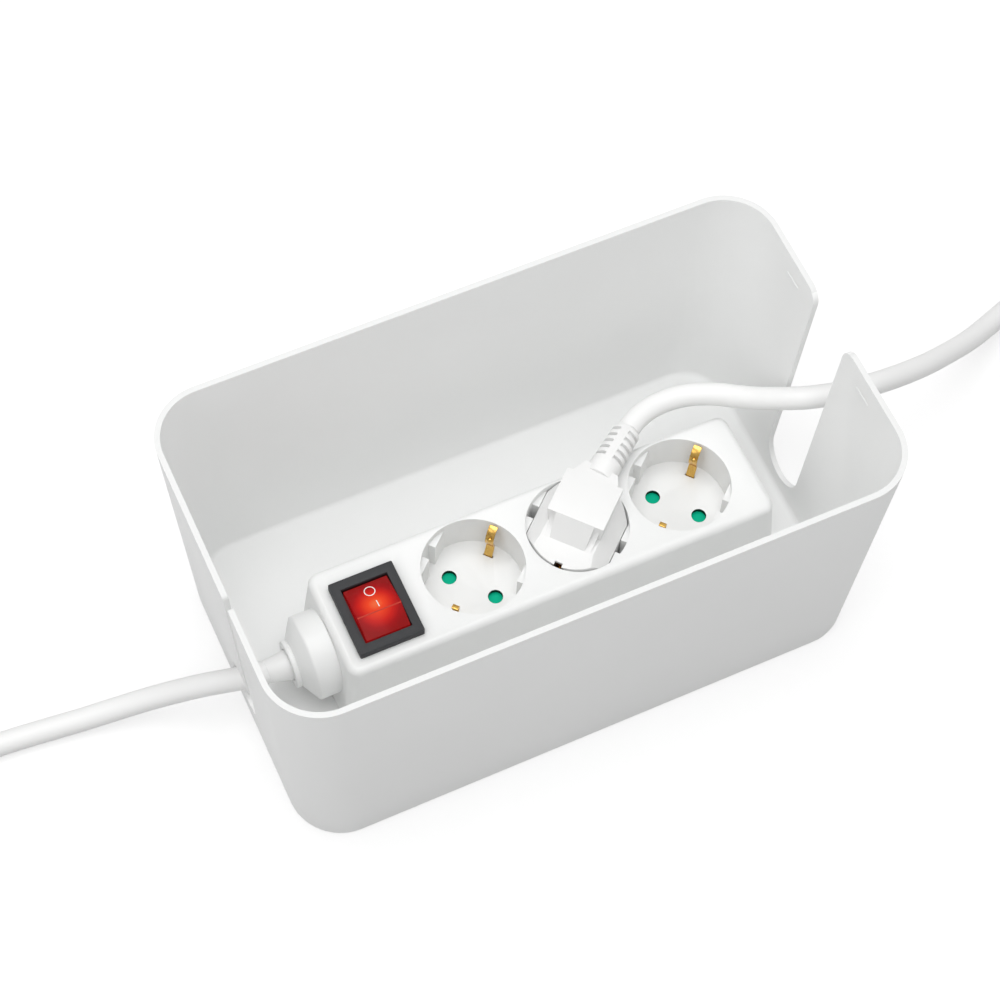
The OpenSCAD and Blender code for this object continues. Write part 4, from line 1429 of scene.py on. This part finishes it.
@dataclass
class Tie(Maker):
    """A flat strap pulled round a coil's bundle, with its loose end laid over."""

    name: str
    mid: Pair
    turn: float
    width: float = 12.0
    sheet: float = 1.3
    snug: float = 4.6
    slope: float = 60.4

    def wrap(self, off: float) -> list[Pair]:
        """Give a path round the bundle.

        Args:
            off: How far it runs off the middles of the outer turns.

        Returns:
            Places out from the coil's middle and heights, from foot to foot.
        """
        left, right = 90 + self.slope, 90 - self.slope
        turns = ((32.8, 4.5, 180, left), (37.4, 12.5, left, 90), (46.6, 12.5, 90, right),
                 (51.2, 4.5, right, 0))
        out = [(turns[0][0] - off, 0.0)]
        for r, z, start, end in turns:
            for k in range(5):
                a = math.radians(start + (end - start) * k / 4)
                out.append((r + off * math.cos(a), z + off * math.sin(a)))
        out.append((turns[-1][0] + off, 0.0))
        return out

    def layer(self, name: str, off: float, sheet: float, width: float, first: int = 0) -> bpy.types.Object:
        """Model one layer of the strap.

        Args:
            name: Name of the layer.
            off: How far its inner side runs off the turns' middles.
            sheet: Its thickness.
            width: Its width.
            first: The point of the path that it starts at.

        Returns:
            The layer, at the origin.
        """
        inner, outer = self.wrap(off)[first:], self.wrap(off + sheet)[first:]
        outline = [(r, -width / 2, z) for r, z in (*inner, *reversed(outer))]
        return Bench.prism(name, outline, (0, width, 0))

    def build(self, node: str) -> bpy.types.Object:
        """Model, place and dress the strap.

        Args:
            node: The node it stands for.

        Returns:
            The strap.
        """
        strap = self.layer(self.name, self.snug, self.sheet, self.width)
        tongue = self.layer("tongue", self.snug + self.sheet + 0.05, 1.1, self.width - 1.2, 10)
        Bench.round_edges(tongue, lambda c, d: abs(d.z) > 0.8 and c.x < 44, 3.0, 4)
        Bench.join(strap, [tongue])
        Bench.soften(strap, 0.25, 2, 50)
        strap.data.transform(move((*self.mid, 0), self.turn))
        self.finishes.stand_in(strap, "box", "tie_grey", "tie_grey", node)
        return strap


@dataclass
class RibbedTail(Maker):
    """A soft cord relief made of rings on a thin core."""

    name: str
    path: Sequence[Point]
    rings: int
    thin: Pair = (4.6, 5.4)
    thick: Pair = (5.3, 7.2)

    def radius(self, t: float) -> float:
        """Give the relief's radius at a share of its length.

        Args:
            t: The share, from the cord's end to the plug.

        Returns:
            The radius in millimetres.
        """
        beat = 0.5 + 0.5 * math.cos(2 * math.pi * self.rings * t)
        swell = min(max((beat - 0.25) * 4, 0.0), 1.0)
        thin, thick = (a + (b - a) * t for a, b in (self.thin, self.thick))
        return thin + (thick - thin) * swell

    def build(self, node: str) -> bpy.types.Object:
        """Model and dress the relief along its path.

        Args:
            node: The node it stands for.

        Returns:
            The relief.
        """
        line = flow([at(*p) for p in self.path], 24)
        tail = Bench.tube(self.name, line, 1.0, 5, 40, self.radius)
        self.finishes.stand_in(tail, "box", "relief_white", "relief_white", node)
        return tail


@dataclass
class WallPlug(Maker):
    """The straight plug on the supply cord's end, pointing along -X."""

    back_x: float = -331.686
    y: float = 28.2
    z: float = 18.9
    length: float = 34.0
    pin_off: float = 9.5
    pin_r: float = 2.4
    pin_len: float = 19.0

    BODY: ClassVar[Outline] = ((0, 7.6), (1.2, 9.0), (6, 12.6), (9, 13.0), (19.5, 12.4), (21.5, 14.0),
                               (22.3, 18.3), (23.2, 18.9), (33.2, 18.9), (34, 18.2))

    def stand(self, parts: Sequence[bpy.types.Object], finish: str, node: str) -> bpy.types.Object:
        """Join parts modelled along Z, turn them to -X at the plug's place and dress them.

        Args:
            parts: The parts.
            finish: Name of their finish.
            node: The node they stand for.

        Returns:
            The joined piece.
        """
        Bench.join(parts[0], parts[1:])
        parts[0].data.transform(move((self.back_x, self.y, self.z), -90.0, "Y"))
        self.finishes.stand_in(parts[0], "box", finish, finish, node)
        return parts[0]

    def body(self) -> bpy.types.Object:
        """Model and dress the plug's body: a ridged grip, a collar and the round head with its earth grooves.

        Returns:
            The body.
        """
        body = Bench.lathe("wall_plug", (0, 0, 0), self.BODY, Axis.Z, 96)
        cuts = []
        for i in range(12):
            if i % 3:
                ridge = Bench.drum("ridge", (0, 0, 8.5), 1.0, 10, Axis.Z, sides=16)
                ridge.data.transform(move((0, 0, 0), 30 * i) @ move((13.2, 0, 0)))
                cuts.append(ridge)
        for s in SIDES:
            cuts.append(Bench.block("groove", (-2.6, s * 15.9, 23.5), (2.6, s * 21, 36)))
            cuts.append(Bench.block("flat", (s * 16.9, -9, 21), (s * 21, 9, 31)))
        Bench.carve(body, cuts)
        Bench.soften(body, 0.35, 2, 35)
        return self.stand([body], "plug_white", "supply_plug_body")

    def pins(self) -> bpy.types.Object:
        """Model and dress the two round-nosed pins.

        Returns:
            The pins.
        """
        r, tip = self.pin_r, self.pin_len
        shape = ((0, r), (tip - 1.3, r), (tip - 0.5, r * 0.85), (tip + 0.1, r * 0.55), (tip + 0.4, r * 0.2))
        pins = [Bench.lathe("wall_pins", (s * self.pin_off, 0, self.length - 0.5), shape, Axis.Z, 32)
                for s in SIDES]
        for pin in pins:
            Bench.take(pin)
            bpy.ops.object.shade_smooth_by_angle(angle=math.radians(40))
        return self.stand(pins, "steel", "supply_plug_pins")

    def springs(self) -> bpy.types.Object:
        """Model and dress the two earth strips in the grooves.

        Returns:
            The strips.
        """
        parts = [Bench.slab("wall_earth", (0, s * 16.5), (2.2, 0.4), 24.2, 33.2) for s in SIDES]
        for part in parts:
            Bench.soften(part, 0.2, 2, 40)
        return self.stand(parts, "brass", "supply_plug_earth")


@dataclass
class Connector(Maker):
    """The three-pole connector on the device cord's end, pointing along -X."""

    front_x: float = 232.314
    y: float = -51.2
    z: float = 8.5
    length: float = 30.0
    half: float = 12.0
    neck: float = 8.0
    neck_half: float = 8.0
    pitch: float = 7.0
    mid_up: float = 4.0
    slot_half: Pair = (1.4, 2.5)
    ridge_x: float = 9.5
    ridge_pitch: float = 2.4

    def poles(self) -> list[Pair]:
        """Return the three poles' places across and heights."""
        return [(self.y + s * self.pitch, self.z - 2.5 + (self.mid_up if s == 0 else 0)) for s in (-1, 0, 1)]

    def body(self) -> bpy.types.Object:
        """Model and dress the connector's body with its two cut corners, ridged sides and neck.

        Returns:
            The body.
        """
        x, y, top = self.front_x, self.y, 2 * self.z
        step = x + self.length - self.neck
        body = Bench.block("line_connector", (x, y - self.half, 0.02), (step, y + self.half, top))
        Bench.round_edges(body, lambda c, d: abs(d.x) > 0.9 and c.z > top - 0.1, 4.0, 1)
        Bench.round_edges(body, lambda c, d: abs(d.x) > 0.9 and c.z < 0.1, 2.0, 5)
        neck = Bench.block("neck", (step - 1, y - self.neck_half, 1.5),
                           (x + self.length, y + self.neck_half, top - 1.5))
        Bench.round_edges(neck, lambda c, d: abs(d.x) > 0.9, 3.2, 5)
        Bench.spread(neck, lambda c, n: c.x > step + 1, (1, 0.82, 0.86), (step, y, self.z))
        Bench.carve(body, [neck], "UNION")
        sy, sz = self.slot_half
        cuts = [Bench.slab("ridge", (x + self.ridge_x + self.ridge_pitch * i, y + s * self.half), (0.6, 0.7),
                           3.5, 12.0) for s in SIDES for i in range(5)]
        cuts += [Bench.block("slot", (x - 1, cy - sy, cz - sz), (x + 14, cy + sy, cz + sz))
                 for cy, cz in self.poles()]
        Bench.carve(body, cuts)
        Bench.soften(body, 0.35, 2, 35)
        self.finishes.stand_in(body, "box", "plug_white", "plug_white", "connector_body")
        return body

    def contacts(self) -> bpy.types.Object:
        """Model and dress the three folded contacts.

        Returns:
            The contacts.
        """
        x, parts = self.front_x, []
        for cy, cz in self.poles():
            part = Bench.block("line_contacts", (x + 2, cy - 1.2, cz - 2.3), (x + 14, cy + 1.2, cz + 2.3))
            Bench.carve(part, [Bench.block("way", (x, cy - 0.6, cz - 5), (x + 12, cy + 0.6, cz + 5))])
            parts.append(part)
        Bench.join(parts[0], parts[1:])
        Bench.soften(parts[0], 0.15, 2, 40)
        self.finishes.stand_in(parts[0], "box", "brass", "brass", "connector_contacts")
        return parts[0]


@dataclass
class Leads(Maker):
    """Both cords with their ties and ends."""

    SUPPLY: ClassVar[Sequence[Point]] = (
        (-104.3, -2.2, 23.6), (-109, -2.1, 24.4), (-114, -1.4, 24.7), (-119, -0.1, 24.3),
        (-126, 2.3, 22.5), (-134, 5.2, 19.2), (-146, 9.5, 13.3), (-158, 12.8, 8.4), (-172, 15.2, 5.5),
        (-186, 17, 4.7), (-203, 18.5, 4.6), (-222, 19, 4.6), (-241.5, 19, 4.6), (-262, 19, 4.5),
        (-278, 19, 4.5))
    DEVICE: ClassVar[Sequence[Point]] = (
        (54.1, 24.4, 48), (55.33, 25.26, 48), (60.1, 27.9, 48), (66.8, 29.9, 48), (73.8, 30.3, 48.1),
        (80.7, 29.2, 48.4), (87.1, 26.6, 49.2), (92.9, 22.9, 50.5), (98.1, 18.5, 52.2), (103, 14.2, 54.6),
        (107.6, 10.1, 57.6), (112.9, 6.3, 60.1), (118.2, 3.6, 61.3), (131, 0.6, 60.8), (145, 1, 57),
        (159, 3.6, 50), (174, 7.6, 41.6), (190, 13.6, 31.2), (206, 20.4, 20.7), (222, 28, 11.9),
        (238, 35, 6.5), (253, 39.8, 4.8), (269, 41.7, 4.6), (288, 42, 4.5), (305, 42, 4.5))
    SUPPLY_COIL: ClassVar[Pair] = (-278, -23)
    DEVICE_COIL: ClassVar[Pair] = (305, 0)

    def supply(self) -> None:
        tube, line = Lead("supply_lead", self.SUPPLY, Coil(self.SUPPLY_COIL, 1, 5.0)).build()
        self.finishes.stand_in(tube, "box", "cord_white", "cord_white", "supply_cord", "supply_coil")
        wall = WallPlug(self.finishes)
        relief = [(wall.back_x + dx, wall.y, z)
                  for dx, z in ((32, 5.5), (24, 5.9), (17, 7.2), (9, 10.6), (0, 15))]
        on_it = [Tie(self.finishes, "supply_strap", self.SUPPLY_COIL, 200).build("supply_tie"),
                 RibbedTail(self.finishes, "wall_tail", relief, 8).build("supply_plug_relief"),
                 wall.body(), wall.pins(), wall.springs()]

    def device(self) -> None:
        tube, line = Lead("device_lead", self.DEVICE, Coil(self.DEVICE_COIL, -1, 4.5)).build()
        self.finishes.dress(tube, "cord_white")
        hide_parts("device_cord", "device_coil")
        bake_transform(tube)
        plug = Connector(self.finishes)
        back = plug.front_x + plug.length
        relief = [(back + dx, plug.y, z) for dx, z in ((21, 5.5), (13, 6), (6, 7.1), (-1, 8))]
        tail = RibbedTail(self.finishes, "line_tail", relief, 6, (4.6, 5.0), (5.3, 6.2))
        on_it = [Tie(self.finishes, "device_strap", self.DEVICE_COIL, 20).build("device_tie"),
                 tail.build("connector_relief"), plug.body(), plug.contacts()]

    def build(self) -> None:
        """Lay both cords."""
        self.supply()
        self.device()


class Studio:
    """Floor, lights, world and camera."""

    def floor(self) -> None:
        """Lay the plain pale floor, which looks white to the camera."""
        Bench.clear()
        bpy.ops.mesh.primitive_plane_add(size=8, location=(0, 0, -0.0002))
        plane = bpy.context.object
        plane.name = "floor"
        mat, tree, skin = Finish("floor_white").start()
        Effects.fill(skin, Base_Color=(0.45, 0.45, 0.45, 1.0), Roughness=0.9, Specular_IOR_Level=0.0)
        seen = Effects.seen(tree)
        strength = Effects.node(tree, "Math", "MULTIPLY")
        strength.inputs[1].default_value = 0.6
        glow = Effects.node(tree, "Emission", Color=(1, 1, 1, 1))
        add = Effects.node(tree, "AddShader")
        Effects.wire(tree, (seen, 0, strength, 0), (strength, 0, glow, "Strength"), (skin, "BSDF", add, 0),
                     (glow, "Emission", add, 1), (add, "Shader", tree.nodes["Material Output"], "Surface"))
        plane.data.materials.append(mat)

    def lights(self) -> None:
        """Set the soft lights and the pale world."""
        world = bpy.data.worlds.new("studio")
        bpy.context.scene.world = world
        world.use_nodes = True
        tree = world.node_tree
        back = tree.nodes["Background"]
        Effects.fill(back, Color=(1, 1, 1, 1))
        strength = Effects.node(tree, "MapRange", To_Min=0.565, To_Max=1.0)
        Effects.wire(tree, (Effects.seen(tree), 0, strength, "Value"), (strength, "Result", back, "Strength"))
        for name, place, size, power, aim in (
                ("top_light", (-0.1, 0.15, 1.9), 1.6, 18.3, (0, 0, 0)),
                ("side_light", (-1.6, -0.5, 1.2), 1.2, 3.7, (0, 0, 0.05)),
                ("front_light", (-0.25, -0.95, 1.65), 1.1, 3.4, (0, 0, 0.05))):
            Bench.clear()
            bpy.ops.object.light_add(type="AREA", location=place)
            lamp = bpy.context.object
            lamp.name = name
            lamp.data.shape = "DISK"
            lamp.data.size = size
            lamp.data.energy = power
            lamp.rotation_euler = (Vector(aim) - Vector(place)).to_track_quat("-Z", "Y").to_euler()

    def camera(self) -> None:
        """Place the camera."""
        Bench.clear()
        bpy.ops.object.camera_add(location=(-0.216876, -0.390523, 0.909645),
                                  rotation=(0.489849, -0.029840, -0.429111))
        cam = bpy.context.object
        cam.name = "camera"
        cam.data.sensor_width = 36.0
        cam.data.sensor_fit = "HORIZONTAL"
        cam.data.lens = 94.9767
        cam.data.clip_start = 0.01
        cam.data.clip_end = 20
        bpy.context.scene.camera = cam

    def build(self) -> None:
        """Set up the studio."""
        self.floor()
        self.lights()
        self.camera()
        bpy.context.scene.view_settings.view_transform = "Standard"


NODE_FINISH = {
    "strip_base": "base_white", "base_screws": "steel", "cord_clamp": "base_white", "clamp_screws": "steel",
    "shutter_1": "shutter_teal", "shutter_2": "shutter_teal", "shutter_3": "shutter_teal",
    "earth_bar": "brass", "live_bar": "brass", "neutral_bar": "brass", "switch_terminals": "brass",
    "switch_lamp": "lamp", "wire_live": "wire_brown", "wire_neutral": "wire_blue", "wire_earth": "wire_green",
    "plug_pins": "steel", "plug_earth": "brass",
}


def main() -> None:
    """Build the whole scene in order."""
    logging.basicConfig(level=logging.INFO, format="%(name)s %(message)s")
    finishes = Finishes()
    Studio().build()
    for maker in (Leads, Tub, Strip, Switch, Gland, AnglePlug):
        maker(finishes).build()
    for node, name in NODE_FINISH.items():
        finishes.dress(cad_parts[node], name)
    Bench.clear()


if __name__ == "__main__":
    main()
